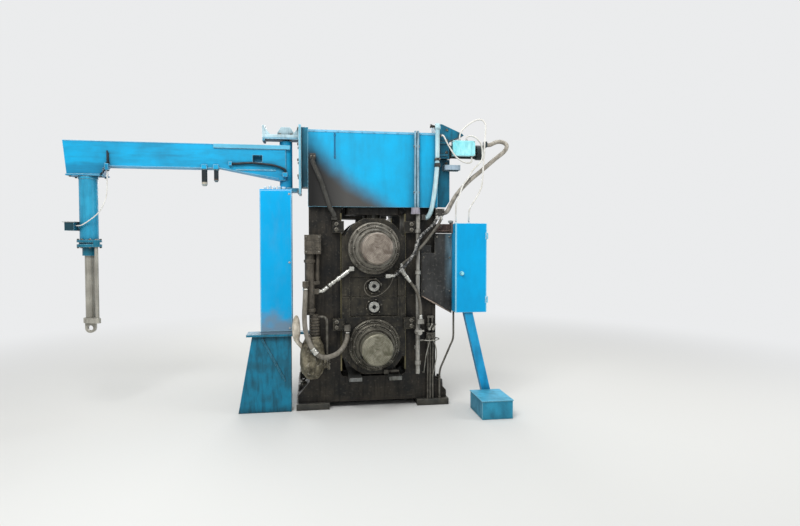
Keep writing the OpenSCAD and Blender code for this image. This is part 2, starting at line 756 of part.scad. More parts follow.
module lift_cylinder() {
    flange_r = 104;
    switch_x = lift_x - 165;
    color("#2a9fd4") {
        translate([lift_x, jib_y, 0]) difference() {
            union() {
                translate([0, 0, cyl_bottom - eps])
                    cylinder(r = cyl_r, h = end_box_z - seat - cyl_bottom + eps);
                translate([0, 0, cyl_bottom - cyl_flange_t]) cylinder(r = flange_r, h = 26);
                translate([0, 0, cyl_bottom - cyl_flange_t + 25]) cylinder(r = cyl_r + 8, h = 20);
                translate([0, 0, cyl_bottom - 22]) cylinder(r = flange_r, h = 22);
                translate([guide_x, guide_y, cyl_bottom - cyl_flange_t])
                    cylinder(r = guide_r + 14, h = cyl_flange_t);
                translate([0, 0, gland_bottom]) cylinder(r = 60, h = cyl_bottom - gland_bottom);
                translate([0, 0, end_box_z - 26]) cylinder(r = cyl_r + 5, h = 20);
            }
            translate([0, 0, gland_bottom - eps])
                cylinder(r = rod_r + fit, h = cyl_bottom - gland_bottom + 50);
            translate([0, 0, cyl_bottom + 20]) cylinder(r = rod_r + 8, h = end_box_z - cyl_bottom);
            translate([guide_x, guide_y, cyl_bottom - cyl_flange_t - eps])
                cylinder(r = guide_r + fit, h = cyl_flange_t + 2 * eps);
        }
        block([switch_x, jib_y - 122, 1715], [after(jib_cable_route)[0], jib_y + 20, 1790]);
        block([after(jib_cable_route)[0] - eps, jib_y - 30, 1735],
              [lift_x - rod_r - 18, jib_y + 10, 1770]);
    }
}

module lift_rod() {
    color("#8b9092") translate([lift_x, jib_y, 0]) {
        translate([0, 0, rod_bottom]) cylinder(r = rod_r, h = rod_top - rod_bottom);
        translate([guide_x, guide_y, rod_bottom])
            cylinder(r = guide_r, h = cyl_bottom - rod_bottom + 8);
        translate([0, 0, rod_bottom]) linear_extrude(46) {
            circle(62);
            translate([guide_x, guide_y]) circle(28);
            polygon([[-10, -58], [guide_x - 12, guide_y - 24], [guide_x + 20, guide_y + 20],
                     [40, 40]]);
        }
        along_y(-18, 18) difference() {
            union() {
                translate([0, rod_bottom - 50]) circle(46);
                translate([-46, rod_bottom - 50]) square([92, 52]);
            }
            translate([0, rod_bottom - 50]) circle(24);
        }
    }
}

module tall_enclosure() {
    door_lip = 12;
    color("#1aa6ea") {
        block([tall_x, tall_front + door_lip, tall_z], [tall_x + tall_w, tall_back, tall_top_z]);
        block([tall_x + 6, tall_front, tall_z + 30],
              [tall_x + tall_w - 6, tall_front + door_lip + eps, tall_top_z - 14]);
        for (i = [0:4])
            translate([tall_x + 50 + 42 * i, (tall_front + tall_back) / 2, tall_top_z - eps])
                cylinder(r = 14, h = 28 + 8 * (i % 2));
    }
}

module enclosure_pedestal() {
    ledge = 20;
    toe = 130;
    deep = 215;
    front = tall_front - 15;
    color("#17657d") {
        block([tall_x - toe, front, tall_z - ledge], [tall_x + tall_w + 10, front + deep, tall_z]);
        block([tall_x + tall_w + 9, -housing_out + 10, tall_z - ledge],
              [-half_w, front + deep, tall_z]);
        along_y(front + 35, front + deep - 20)
            polygon([[tall_x - 210, 0], [tall_x + tall_w - 15, 0],
                     [tall_x + tall_w - 15, tall_z - ledge + eps],
                     [tall_x - 80, tall_z - ledge + eps]]);
    }
}

module junction_box() {
    rim = 10;
    color("#19a4e8") {
        difference() {
            block([jbox_x, jbox_front, jbox_z], [jbox_x + jbox_w, jbox_back, jbox_top]);
            block([jbox_x + jbox_sheet, jbox_front + jbox_sheet, jbox_z + jbox_sheet],
                  [jbox_x + jbox_w - jbox_sheet, jbox_back - jbox_sheet, jbox_top - jbox_sheet]);
            block([jbox_x + rim, jbox_front - eps, jbox_z + rim],
                  [jbox_x + jbox_w - rim, jbox_front + jbox_sheet + eps, jbox_top - rim]);
        }
        for (route = [cable_a_route, cable_b_route])
            rod([route[0][0], route[0][1], jbox_top - eps], before(route), gland_r);
    }
}

module junction_door() {
    lap = 2;
    color("#1da8ec") {
        block([jbox_x - lap, jbox_front - seat - door_t, jbox_z - lap],
              [jbox_x + jbox_w, jbox_front - seat, jbox_z + jbox_h + lap]);
        for (z = [jbox_z + 90, jbox_z + jbox_h - 150]) {
            block([jbox_x + jbox_w - 12, jbox_front - seat - door_t - 4, z],
                  [door_hinge_x, jbox_front - seat - door_t, z + 60]);
            translate([door_hinge_x, jbox_front - seat - door_t, z]) cylinder(r = 7, h = 60);
        }
        translate([jbox_x + 62, jbox_front - seat - door_t, jbox_z + 375])
            rotate([90, 0, 0]) cylinder(r = 14, h = 26);
    }
}

module box_shelf() {
    plate = 12;
    high = 1700;
    low = 1000;
    front = -housing_out - plate;
    color("#9a8f8c") {
        block([half_w, front, high], [jbox_x, -housing_out, high + 90]);
        block([half_w, jbox_back, high + 16], [jbox_x, front + eps, high + 16 + plate]);
        block([jbox_x - plate, jbox_back - 60, high], [jbox_x, -housing_out, high + 100]);
        block([half_w, front, low], [jbox_x + 60, -housing_out, low + 50]);
        block([jbox_x + 20, jbox_back, low], [jbox_x + 60, front + eps, low + 50]);
        rod([drain_route[0][0], drain_route[0][1], low + eps], before(drain_route), 13);
    }
}

module prop_leg() {
    wide = 85;
    top_x = jbox_x + 90;
    lean = 223;
    wall = 8;
    color("#1b93c8") difference() {
        along_y(leg_back - leg_t, leg_back)
            polygon([[top_x, jbox_z], [top_x + wide, jbox_z], [top_x + lean + wide, 0],
                     [top_x + lean, 0]]);
        along_y(leg_back - leg_t + wall, leg_back + eps)
            polygon([[top_x + wall + 2, jbox_z - 10], [top_x + wide - wall + 2, jbox_z - 10],
                     [top_x + lean + wide - wall - 4, 12], [top_x + lean + wall - 4, 12]]);
    }
}

module foot_block() {
    x0 = jbox_x + 150;
    wide = 300;
    deep = 403;
    high = 172;
    lid = 8;
    over = 6;
    color("#1c7d9c") {
        block([x0 + over, leg_back - leg_t - deep + over, 0],
              [x0 + wide - over, leg_back - leg_t - over, high - lid + eps]);
        block([x0, leg_back - leg_t - deep, high - lid], [x0 + wide, leg_back - leg_t, high]);
    }
}

module left_actuator() {
    head_z = 1500;
    head_h = 178;
    head_w = 152;
    tube_x = actuator_tube_x - actuator_x;
    port_x = after(left_chock_route)[0] - actuator_x;
    hose_x = left_hose_route[0][0] - actuator_x;
    hose_y = left_hose_route[0][1] - actuator_y;
    color("#8d8a80") translate([actuator_x, actuator_y, 0]) {
        difference() {
            block([-head_w / 2, -70, head_z], [head_w / 2, 120, head_z + head_h]);
            for (z = [head_z + 32, head_z + 60, head_z + 118]) {
                block([-head_w / 2 - 4, -74, z], [head_w / 2 + 4, -64, z + 6]);
                block([-head_w / 2 - 4, -74, z], [-head_w / 2 + 6, 80, z + 6]);
            }
        }
        translate([tube_x, 0, 930]) cylinder(r = 46, h = head_z - 930);
        for (z = [960, 1420]) translate([tube_x, 0, z]) cylinder(r = 54, h = 26);
        translate([42, 0, 1240]) cylinder(r = 20, h = head_z - 1240);
        block([tube_x, -25, 1215], [42 + 20, 25, 1241]);
        translate([14, 0, 728]) cylinder(r = 36, h = 203);
        for (z = [740, 768, 796, 824, 852, 880]) translate([14, 0, z]) cylinder(r = 46, h = 16);
        block([tube_x, -25, 1124], [port_x, 25, 1172]);
        block([hose_x - 27, hose_y - 27, before(left_hose_route)[2]], [hose_x + 27, 0, 1248]);
        rod([14, 0, 905], [before(elbow_route)[0] - actuator_x, 0, 905], 15);
    }
}

module actuator_casting() {
    top = 727;
    port_z = 470;
    port_r = 52;
    port_l = 118;
    color("#b7b3aa") translate([actuator_x - 6, actuator_y, 0]) {
        rotate_extrude($fn = 48)
            polygon([[0, 330], [58, 330], [98, 380], [118, 460], [116, 560], [104, 640],
                     [72, 700], [72, top - 8], [60, top], [0, top]]);
        translate([40, 0, port_z]) rotate([0, 90, 0]) cylinder(r = port_r, h = port_l);
        translate([40 + port_l - 18, 0, port_z]) rotate([0, 90, 0]) cylinder(r = port_r + 14, h = 18);
        block([last(elbow_route)[0] - actuator_x - 14, -20, port_z],
              after(elbow_route) - [actuator_x - 26, actuator_y - 20, 0]);
        block([-60, 0, 400], [60, 120, 640]);
    }
}

module riser_pipes() {
    riser_r = 20;
    cap_x = riser_x - 24;
    cap_z = 1880;
    cap_h = 62;
    hood_pipes_top = hood_top_z + 10;
    color("#c9c6c0") {
        translate([riser_x, pipe_y, 330]) cylinder(r = riser_r, h = cap_z - 329);
        for (z = [420, 1300, 1700]) translate([riser_x, pipe_y, z]) cylinder(r = riser_r + 7, h = 34);
        translate([cap_x, pipe_y, cap_z]) cylinder(r1 = 46, r2 = 40, h = cap_h);
        translate([riser_x + 6, pipe_y, 740]) sphere(r = 38);
        translate([riser_x + 6, pipe_y - 30, 740]) rotate([90, 0, 0]) cylinder(r = 9, h = 44);
        block([riser_x - 34, pipe_y - 84, 752], [riser_x + 46, pipe_y - 72, 766]);
        translate([riser_x + 6, pipe_y - 72, 740]) rotate([90, 0, 0]) cylinder(r = 22, h = 12);
        for (z = [560, 1160]) block([riser_x - 20, pipe_y, z], [riser_x + 20, -housing_out, z + 30]);
        block([riser_x - 16, pipe_y - 84, 826],
              [riser_x + 44, pipe_y + 14, after(right_chock_route)[2]]);
        for (pipe = [[riser_x - 1, 12], [riser_x - 27, 10]])
            translate([pipe[0], pipe_y, cap_z + cap_h - eps])
                cylinder(r = pipe[1], h = hood_pipes_top - cap_z - cap_h);
        for (z = [hood_top_z - 590, hood_top_z - 150])
            block([riser_x - 39, pipe_y - 4, z], [riser_x + 13, -hood_front, z + 24]);
    }
}

module side_guard() {
    x0 = 463;
    x1 = jbox_x - clear;
    low_left = 1085;
    low_right = 916;
    top = 1505;
    high = 1700 - clear;
    step_x = half_w - 25;
    deep = 75;
    sheet = 4;
    face = -housing_out - deep;
    slope = (low_left - low_right) / (x1 - x0);
    color("#6b6c68") {
        difference() {
            along_y(face, -housing_out)
                polygon([[x0, low_left], [x0, top], [step_x, top], [step_x, high], [x1, high],
                         [x1, low_right]]);
            along_y(face + sheet, -housing_out + eps)
                polygon([[x0 + sheet, low_left + sheet], [x0 + sheet, top - sheet],
                         [step_x + sheet, top - sheet], [step_x + sheet, high - sheet],
                         [x1 + eps, high - sheet], [x1 + eps, low_right + sheet - slope]]);
            block([half_w - clear, face + sheet, low_right - eps],
                  [x1 + eps, -housing_out + eps, high + eps]);
        }
        block([x0, -housing_out - 60, top - eps], [x0 + 96, -housing_out, top + 73]);
    }
}

// Ports on the upper chocks' front faces, with the two quick couplings.
module chock_fittings() {
    braid_z = last(braided_route)[2];
    braid_x = after(braided_route)[0];
    color("#c9c8c2") {
        block(left_port - [22, 30, 20], [left_port[0] + 22, -chock_out, left_port[2] + 20]);
        coupling(left_port, before(left_chock_route), 0.75 * chock_hose_d);
        block([before(loop_route)[0], right_port[1] - 30, right_port[2] - 20],
              [right_port[0] + 22, -chock_out, after(grey_route)[2]]);
        coupling(right_port, before(right_chock_route), 0.75 * chock_hose_d);
        block([braid_x - 44, -chock_out - 112, braid_z - 20], [braid_x, -chock_out, braid_z + 16]);
    }
}

module loop_cable() {
    color("#8b8a86") tube(loop_route, 8, 8, 3);
}

module upper_hoses() {
    color("#6f6f6c") {
        tube(braided_route, chock_hose_d);
        tube(grey_route, chock_hose_d);
    }
}

module left_chock_hose() {
    color("#1d1e1f") tube(left_chock_route, chock_hose_d);
}

module right_chock_hose() {
    color("#7c7a74") tube(right_chock_route, chock_hose_d);
}

module left_hose() {
    color("#8a8780") tube(left_hose_route, big_hose_d);
}

module box_cables() {
    color("#d6d5d0") {
        for (route = [cable_a_route, cable_b_route, cable_d_route]) tube(route, cable_d, 8, 2);
        tube(conduit_route, conduit_d, 12, 3);
    }
}

// The pale pipe and the dark vent pipe in front of the hood, with the blocks that hold them.
module hood_pipes() {
    pipe_d = 44;
    pipe_x = hood_pipe_route[0][0];
    hose_x0 = half_w - 28;
    hose_z = before(braided_route)[2];
    color("#b9c9cc") {
        tube(hood_pipe_route, pipe_d, 12, 3);
        for (z = [2515, 2600, 2700])
            translate([pipe_x, pipe_y, z]) cylinder(r = pipe_d / 2 + 8, h = 36);
        rod([pipe_x, pipe_y, cable_d_route[0][2]], before(cable_d_route), 12);
        block([pipe_x - 25, pipe_y, 2400], [pipe_x + 25, -hood_front, 2424]);
        block([462, pipe_y, 1824], [after(hood_pipe_route)[0], -housing_out, 1876]);
        tube(strut_route, pipe_d, 12, 3);
        block([-604, -760, before(strut_route)[2]],
              [-552, -hood_front, before(strut_route)[2] + 50]);
        block([-406, -765, 1818], [-354, -housing_out, after(strut_route)[2]]);
        block([hose_x0, -760, hose_z], [after(conduit_route)[0], -housing_out, hose_z + 66]);
    }
}

// Small pipes low on the right post, the port of the large hose and the rail coupling.
module lower_pipes() {
    pipe_r = 9;
    manifold_x = 520;
    manifold_z = 640;
    manifold_y = -housing_out - 60;
    line_y = -housing_out - 32;
    hose_x = last(left_hose_route)[0];
    rail_z = bottom_backup_z - chock_flat + 24;
    color("#a5a29a") {
        block([manifold_x, manifold_y, manifold_z],
              [manifold_x + 82, -housing_out, manifold_z + 80]);
        for (i = [0:2]) translate([manifold_x + 16 + 25 * i, line_y, sole_t])
            cylinder(r = pipe_r, h = manifold_z - sole_t + eps);
        for (i = [0:1]) translate([manifold_x + 22 + 38 * i, 0, manifold_z]) {
            translate([0, line_y, 79]) cylinder(r = pipe_r, h = 150);
            translate([0, line_y, 130]) cylinder(r = pipe_r + 9, h = 40);
            translate([0, manifold_y, 40]) rotate([90, 0, 0]) cylinder(r = 15, h = 26);
        }
        block([manifold_x + 10, line_y - 9, manifold_z + 225],
              [manifold_x + 72, -housing_out, manifold_z + 245]);
        tube(drain_route, 2 * pipe_r, 8, 2);
        translate([last(drain_route)[0], last(drain_route)[1], sole_t])
            cylinder(r = pipe_r + 5, h = 22);
        tube(elbow_route, 24, 10, 3);
        block([hose_x - 27, -chock_out - 78, after(left_hose_route)[2]], [hose_x + 27, -chock_out, 820]);
        block([92, -chock_out - 50, rail_z - 20], [132, -chock_out, rail_z + 20]);
        rod([130, -chock_out - 25, rail_z], [238, -chock_out - 25, rail_z], 14);
        rod([160, -chock_out - 25, rail_z], [214, -chock_out - 25, rail_z], 19);
    }
}

module jib_hoses() {
    color("#23323a") {
        tube(jib_hose_route, 22, 10, 3);
        tube(jib_cable_route, 10, 8, 2);
    }
}

operator_housing();
drive_housing();
sole_plates();
upper_ties();
lower_ties();
window_liners();
chock_rails();
keeper_plates();
gap_cylinders();
gap_plungers();
top_backup_chocks();
bottom_backup_chocks();
top_work_chocks();
bottom_work_chocks();
top_end_caps();
bottom_end_caps();
top_backup_roll();
bottom_backup_roll();
top_work_roll();
bottom_work_roll();
entry_table();
exit_table();
spray_headers();
front_hood();
gear_case();
gap_motor();
motor_terminal_box();
motor_bracket();
jib_bracket();
jib_arm();
lift_cylinder();
lift_rod();
tall_enclosure();
enclosure_pedestal();
junction_box();
junction_door();
box_shelf();
prop_leg();
foot_block();
left_actuator();
actuator_casting();
riser_pipes();
side_guard();
chock_fittings();
loop_cable();
upper_hoses();
left_chock_hose();
right_chock_hose();
left_hose();
box_cables();
hood_pipes();
lower_pipes();
jib_hoses();
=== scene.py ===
import math

import bmesh
import bpy
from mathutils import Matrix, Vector


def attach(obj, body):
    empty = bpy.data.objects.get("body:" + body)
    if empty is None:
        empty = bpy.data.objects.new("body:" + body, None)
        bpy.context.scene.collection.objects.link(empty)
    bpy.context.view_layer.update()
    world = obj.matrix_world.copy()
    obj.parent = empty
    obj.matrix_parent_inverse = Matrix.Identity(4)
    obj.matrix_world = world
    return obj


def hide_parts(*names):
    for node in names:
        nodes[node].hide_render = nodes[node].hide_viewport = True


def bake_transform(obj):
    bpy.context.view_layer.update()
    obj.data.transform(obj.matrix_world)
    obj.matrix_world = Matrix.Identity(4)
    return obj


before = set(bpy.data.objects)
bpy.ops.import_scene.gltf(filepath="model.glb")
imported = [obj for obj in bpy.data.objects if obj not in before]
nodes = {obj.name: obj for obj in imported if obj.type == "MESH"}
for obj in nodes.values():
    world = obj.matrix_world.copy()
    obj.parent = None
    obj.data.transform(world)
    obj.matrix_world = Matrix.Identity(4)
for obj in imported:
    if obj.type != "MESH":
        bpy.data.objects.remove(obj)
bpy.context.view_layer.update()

# ---- Camera: eye level 1.6 m, 6 m in front of the stand and a little to its left.
lens = bpy.data.cameras.new("camera")
lens.lens = 25.2
lens.sensor_width = 36.0
camera = bpy.data.objects.new("camera", lens)
camera.location = (-0.59, -6.07, 1.6)
camera.rotation_euler = (math.radians(87.98), 0.0, math.radians(-8.93))
bpy.context.scene.collection.objects.link(camera)
bpy.context.scene.camera = camera

# ---- Housings, sole plates and ties: two heavy castings in window form, bolted to
# machined sole plates and held apart by a box beam at each top corner. Cast iron,
# painted once, now under a film of rolling oil with dust in it.


def linear(colour):
    """An sRGB hex colour as the linear colour that a shader reads."""
    channels = [int(colour[i:i + 2], 16) / 255 for i in (1, 3, 5)]
    return [c / 12.92 if c <= 0.04045 else ((c + 0.055) / 1.055) ** 2.4 for c in channels] + [1.0]


def add(tree, kind, sockets={}, **settings):
    """A node of a tree, with its settings, its values and the links into it. A kind without
    a family is a shader node, and a node as a value is linked by its first active output."""
    node = tree.nodes.new(kind if "Node" in kind else "ShaderNode" + kind)
    for name, value in settings.items():
        setattr(node, name, value)
    for socket, value in sockets.items():
        if isinstance(value, bpy.types.Node):
            value = next(output for output in value.outputs if output.enabled)
        if isinstance(value, bpy.types.NodeSocket):
            tree.links.new(value, node.inputs[socket])
        else:
            node.inputs[socket].default_value = value
    return node


def weathered(name, tones, patch, run, grime=0.6, rough=(0.4, 0.6), grain=2, relief=0.15, edge_wear_and_highlight=0.8,
              edge_mm=3, crevice_shade=0.7, metallic=0.0, gloss=0.25, scuff=0.0, soil=None, zones=()):
    """A painted, cast or milled surface that has aged: two tones in broad patches, dirt in
    runs, painted shade in corners and creases in the dirt's colour, edges that are worn and
    also painted pale as highlights, and a fine grain. tones are those two, the colour of the
    dirt and the painted shade, and the edge's colour. Sizes are in millimetres. soil is a
    function that gives the mask and the tone of a smoke film, from the tree and the place. A
    zone is another tone and the ramps that bound it: an axis, where it starts and ends."""
    tone, shade, dirt_and_shade_tone, edge = [linear(colour) for colour in tones.split()]
    material = bpy.data.materials.new(name)
    material.use_nodes = True
    tree = material.node_tree
    tree.nodes.clear()
    place = add(tree, "TexCoord").outputs["Object"]
    broad = add(tree, "TexNoise", {
        "Vector": place, "Scale": 1000 / patch, "Detail": 5.0, "Roughness": 0.62})
    patches = add(tree, "MapRange", {"Value": broad, "From Min": 0.38, "From Max": 0.64})
    painted = add(tree, "Mix", {0: patches, 6: tone, 7: shade}, data_type="RGBA")
    axes = add(tree, "SeparateXYZ", {0: place}).outputs if zones else None
    for other, *ramps in zones:
        inside = 1.0
        for axis, start, end in ramps:
            ramp = add(tree, "MapRange", {"Value": axes[axis], "From Min": start, "From Max": end})
            inside = add(tree, "Math", {0: ramp, 1: inside}, operation="MULTIPLY")
        light = linear(other)
        dark = [0.72 * c for c in light[:3]] + [1.0]
        shaded = add(tree, "Mix", {0: patches, 6: light, 7: dark}, data_type="RGBA")
        painted = add(tree, "Mix", {0: inside, 6: painted, 7: shaded}, data_type="RGBA")
    stretched = add(tree, "Mapping", {
        "Vector": place, "Scale": (1000 / run[0], 1000 / run[0], 1000 / run[1])})
    runs = add(tree, "TexNoise", {
        "Vector": stretched, "Scale": 1.0, "Detail": 5.0, "Roughness": 0.6})
    film = add(tree, "MapRange", {"Value": runs, "From Min": 0.46, "From Max": 0.72, "To Max": grime})
    # Ambient occlusion pulls corners, creases and gaps towards the dirt's colour: painted shade, added
    # to the dirt in runs.
    crevice_ao = add(tree, "AmbientOcclusion", {"Distance": 0.09}, samples=6)
    crevice_shade_mask = add(tree, "MapRange", {
        "Value": crevice_ao.outputs["AO"], "From Min": 0.95, "From Max": 0.35, "To Max": crevice_shade})
    dirt_and_shade = add(tree, "Math", {0: film, 1: crevice_shade_mask}, operation="ADD", use_clamp=True)
    dirtied_and_shaded = add(tree, "Mix", {0: dirt_and_shade, 6: painted, 7: dirt_and_shade_tone}, data_type="RGBA")
    if soil:
        smoked, smoke = soil(tree, place)
        dirtied_and_shaded = add(tree, "Mix", {0: smoked, 6: dirtied_and_shaded, 7: smoke}, data_type="RGBA")
        dirt_and_shade = add(tree, "Math", {0: dirt_and_shade, 1: smoked}, operation="ADD", use_clamp=True)
    # Edges found from the bevel normal take the edge colour: worn paint or metal, and on the enamels
    # also painted highlights.
    softened = add(tree, "Bevel", {"Radius": edge_mm / 1000}, samples=6)
    flat = add(tree, "NewGeometry").outputs["Normal"]
    turned = add(tree, "VectorMath", {0: softened, 1: flat}, operation="DOT_PRODUCT")
    speck_mm = 22
    speck = add(tree, "TexNoise", {"Vector": place, "Scale": 1000 / speck_mm, "Detail": 6.0})
    rubbed = add(tree, "MapRange", {
        "Value": turned, "From Min": 0.995, "From Max": 0.9, "To Max": edge_wear_and_highlight * 2.2})
    chipped_and_lit_edges = add(tree, "Math", {0: rubbed, 1: speck}, operation="MULTIPLY", use_clamp=True)
    bruised = add(tree, "MapRange", {
        "Value": speck, "From Min": 0.58, "From Max": 0.76, "To Max": scuff})
    bare = add(tree, "Math", {0: chipped_and_lit_edges, 1: bruised}, operation="ADD", use_clamp=True)
    worn = add(tree, "Mix", {0: bare, 6: dirtied_and_shaded, 7: edge}, data_type="RGBA")
    fine = add(tree, "TexNoise", {
        "Vector": place, "Scale": 1000 / grain, "Detail": 3.0, "Roughness": 0.6})
    duller = add(tree, "Math", {0: broad, 1: dirt_and_shade}, operation="ADD")
    matt = add(tree, "MapRange", {
        "Value": duller, "From Min": 0.3, "From Max": 1.2, "To Min": rough[0], "To Max": rough[1]})
    height = add(tree, "Mix", {0: 0.45, 2: fine, 3: runs})
    bump = add(tree, "Bump", {
        "Strength": relief, "Distance": 0.002, "Height": height, "Normal": softened})
    shader = add(tree, "BsdfPrincipled", {
        "Base Color": worn, "Roughness": matt, "Metallic": metallic, "Specular IOR Level": gloss,
        "Normal": bump})
    add(tree, "OutputMaterial", {"Surface": shader})
    return material


def finish(material, *names):
    """Gives solids of the stand their material."""
    for name in names:
        nodes[name].data.materials.clear()
        nodes[name].data.materials.append(material)


# Oily casting: near black where the oil is wet, olive brown where dust has stuck to it.
oily_casting = weathered(
    "oily cast iron", "#131312 #37322a #060605 #7d786b", patch=210, run=(24, 380), grime=0.85,
    rough=(0.3, 0.58), grain=4, relief=0.5, edge_wear_and_highlight=0.55, scuff=0.3)
# Greasy plate: milled iron that has been walked on, dark grey with rubbed corners.
greasy_plate = weathered(
    "greasy milled iron", "#3a3c3a #55524a #1b1a17 #9b968a", patch=180, run=(120, 160),
    rough=(0.4, 0.68), grain=3, relief=0.35, edge_wear_and_highlight=0.5)
# Tie paint: old blue enamel brushed over the beams, faded where oil mist settles.
tie_enamel = weathered(
    "oily blue enamel", "#1d6f9c #185879 #20201d #7fa9ba", patch=350, run=(35, 420), grime=0.7,
    rough=(0.35, 0.6), grain=2.5, relief=0.25, edge_wear_and_highlight=0.4)
finish(oily_casting, "operator_housing", "drive_housing", "lower_ties")
finish(greasy_plate, "sole_plates")
finish(tie_enamel, "upper_ties")


def settle(name, body, mesh, material):
    """Turns a bmesh into a finished piece of the stand, riding on its body."""
    bmesh.ops.recalc_face_normals(mesh, faces=mesh.faces)
    data = bpy.data.meshes.new(name)
    mesh.to_mesh(data)
    mesh.free()
    data.materials.append(material)
    piece = bpy.data.objects.new(name, data)
    bpy.context.scene.collection.objects.link(piece)
    if body:
        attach(piece, body)
    return piece


def ring(mesh, centre, across, over, radius, sides):
    """A circle of points in the plane of two directions."""
    turns = [math.tau * k / sides for k in range(sides)]
    return [mesh.verts.new(centre + radius * (math.cos(turn) * across + math.sin(turn) * over))
            for turn in turns]


def skin(mesh, low, high, smooth):
    """The faces between two circles of points."""
    sides = len(low)
    made = []
    for k in range(sides):
        n = (k + 1) % sides
        made.append(mesh.faces.new((low[k], low[n], high[n], high[k])))
        made[k].smooth = smooth
    return made


def lathe(mesh, start, along, profile, sides=24, hollow=False):
    """Adds a turned shape to a mesh. The profile gives distances along its line and radii,
    in metres; a hollow one closes on itself."""
    axis = Vector(along).normalized()
    across = axis.orthogonal().normalized()
    over = axis.cross(across)
    rows = [ring(mesh, Vector(start) + axis * far, across, over, radius, sides)
            for far, radius in profile]
    pairs = list(zip(rows, rows[1:]))
    if hollow:
        pairs.append((rows[-1], rows[0]))
    else:
        mesh.faces.new(rows[0])
        mesh.faces.new(rows[-1])
    for low, high in pairs:
        skin(mesh, low, high, sides > 8)


def bolt_tree():
    """Geometry nodes that put a hexagon bolt with its washer on each point of a mesh, facing
    along the point's own direction and turned by chance about it."""
    tree = bpy.data.node_groups.new("hexagon bolts", "GeometryNodeTree")
    for label, kind in (("Points", "Geometry"), ("Across flats", "Float"), ("Head height", "Float"),
                        ("Seed", "Int"), ("Finish", "Material")):
        tree.interface.new_socket(label, in_out="INPUT", socket_type="NodeSocket" + kind)
    tree.interface.new_socket("Bolts", in_out="OUTPUT", socket_type="NodeSocketGeometry")
    given = add(tree, "NodeGroupInput").outputs
    # Head, chamfered crown and washer: sides, radius and height as shares of the sizes.
    rounds = ((6, 0.577, 0.0, 0.88), (6, 0.53, 0.88, 0.12), (14, 0.68, -0.02, 0.18))
    pieces = add(tree, "GeometryNodeJoinGeometry")
    for sides, share, low, tall in rounds:
        radius = add(tree, "Math", {0: given["Across flats"], 1: share}, operation="MULTIPLY")
        depth = add(tree, "Math", {0: given["Head height"], 1: tall}, operation="MULTIPLY")
        middle = add(tree, "Math", {0: given["Head height"], 1: low + tall / 2},
                     operation="MULTIPLY")
        offset = add(tree, "CombineXYZ", {2: middle})
        bar = add(tree, "GeometryNodeMeshCylinder", {
            "Vertices": sides, "Radius": radius, "Depth": depth})
        lifted = add(tree, "GeometryNodeTransform", {"Geometry": bar, "Translation": offset})
        tree.links.new(lifted.outputs[0], pieces.inputs[0])
    facing = add(tree, "GeometryNodeInputNamedAttribute", {"Name": "facing"},
                 data_type="FLOAT_VECTOR")
    aligned = add(tree, "FunctionNodeAlignRotationToVector", {"Vector": facing}, axis="Z")
    placed = add(tree, "GeometryNodeInstanceOnPoints", {
        "Points": given["Points"], "Instance": pieces, "Rotation": aligned})
    chance = add(tree, "FunctionNodeRandomValue", {"Seed": given["Seed"], 3: math.tau / 6},
                 data_type="FLOAT")
    spin = add(tree, "CombineXYZ", {2: chance})
    turned = add(tree, "FunctionNodeEulerToRotation", {0: spin})
    spun = add(tree, "GeometryNodeRotateInstances", {"Instances": placed, "Rotation": turned})
    real = add(tree, "GeometryNodeRealizeInstances", {0: spun})
    dressed = add(tree, "GeometryNodeSetMaterial", {"Geometry": real, "Material": given["Finish"]})
    add(tree, "NodeGroupOutput", {0: dressed})
    return tree


hexagon_bolts = bolt_tree()
up = (0, 0, 1)


def fasten(name, body, places, across, head, material, seed):
    """Bolts of one size at points of the stand. Each place is a point and its direction."""
    mesh = bpy.data.meshes.new(name)
    mesh.from_pydata([point for point, out in places], [], [])
    ways = mesh.attributes.new("facing", "FLOAT_VECTOR", "POINT")
    for i, (point, out) in enumerate(places):
        ways.data[i].vector = out
    spots = bpy.data.objects.new(name, mesh)
    bpy.context.scene.collection.objects.link(spots)
    modifier = spots.modifiers.new("bolts", "NODES")
    modifier.node_group = hexagon_bolts
    given = {"Across flats": across, "Head height": head, "Seed": seed, "Finish": material}
    for item in hexagon_bolts.interface.items_tree:
        if item.in_out == "INPUT" and item.name in given:
            modifier[item.identifier] = given[item.name]
    bpy.context.view_layer.update()
    ready = spots.evaluated_get(bpy.context.evaluated_depsgraph_get())
    spots.data = bpy.data.meshes.new_from_object(ready)
    spots.modifiers.clear()
    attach(spots, body)


def facing(out, *points):
    """Places for bolts that all face one way."""
    return [(point, out) for point in points]


# Oiled bolt steel: dark heads with bright corners where spanners have turned them.
oiled_bolt = weathered(
    "oiled bolt steel", "#4a4843 #6a665c #1c1b18 #b5b0a4", patch=15, run=(8, 20), grime=0.4,
    rough=(0.3, 0.5), grain=1, edge_wear_and_highlight=0.9, edge_mm=1.5, metallic=0.8)
corners = [(x, y) for x in (-0.68, 0.68) for y in (-0.49, 0.49)]
bosses = bmesh.new()
for x, y in corners:
    lathe(bosses, (x, y, 0.14), up, [(0, 0.05), (0.064, 0.046), (0.068, 0.042)])
    lathe(bosses, (x, y, 0.2), up, [(0, 0.015), (0.057, 0.015), (0.06, 0.012)], 16)
settle("anchor_bosses", "stand", bosses, oily_casting)
fasten("anchor_nuts", "stand", facing(up, *[(x, y, 0.208) for x, y in corners]), 0.05, 0.03,
       oiled_bolt, 2)
# The ties' bolts at the drive side, four on each upper tie and four on each lower one.
tie_spots = [(side * x, 0.641, z) for side in (-1, 1) for x, z in (
    (0.4, 2.16), (0.56, 2.16), (0.4, 2.44), (0.56, 2.44),
    (0.42, 0.3), (0.56, 0.3), (0.42, 0.16), (0.56, 0.16))]
fasten("tie_bolts", "stand", facing((0, 1, 0), *tie_spots), 0.055, 0.034, oiled_bolt, 4)

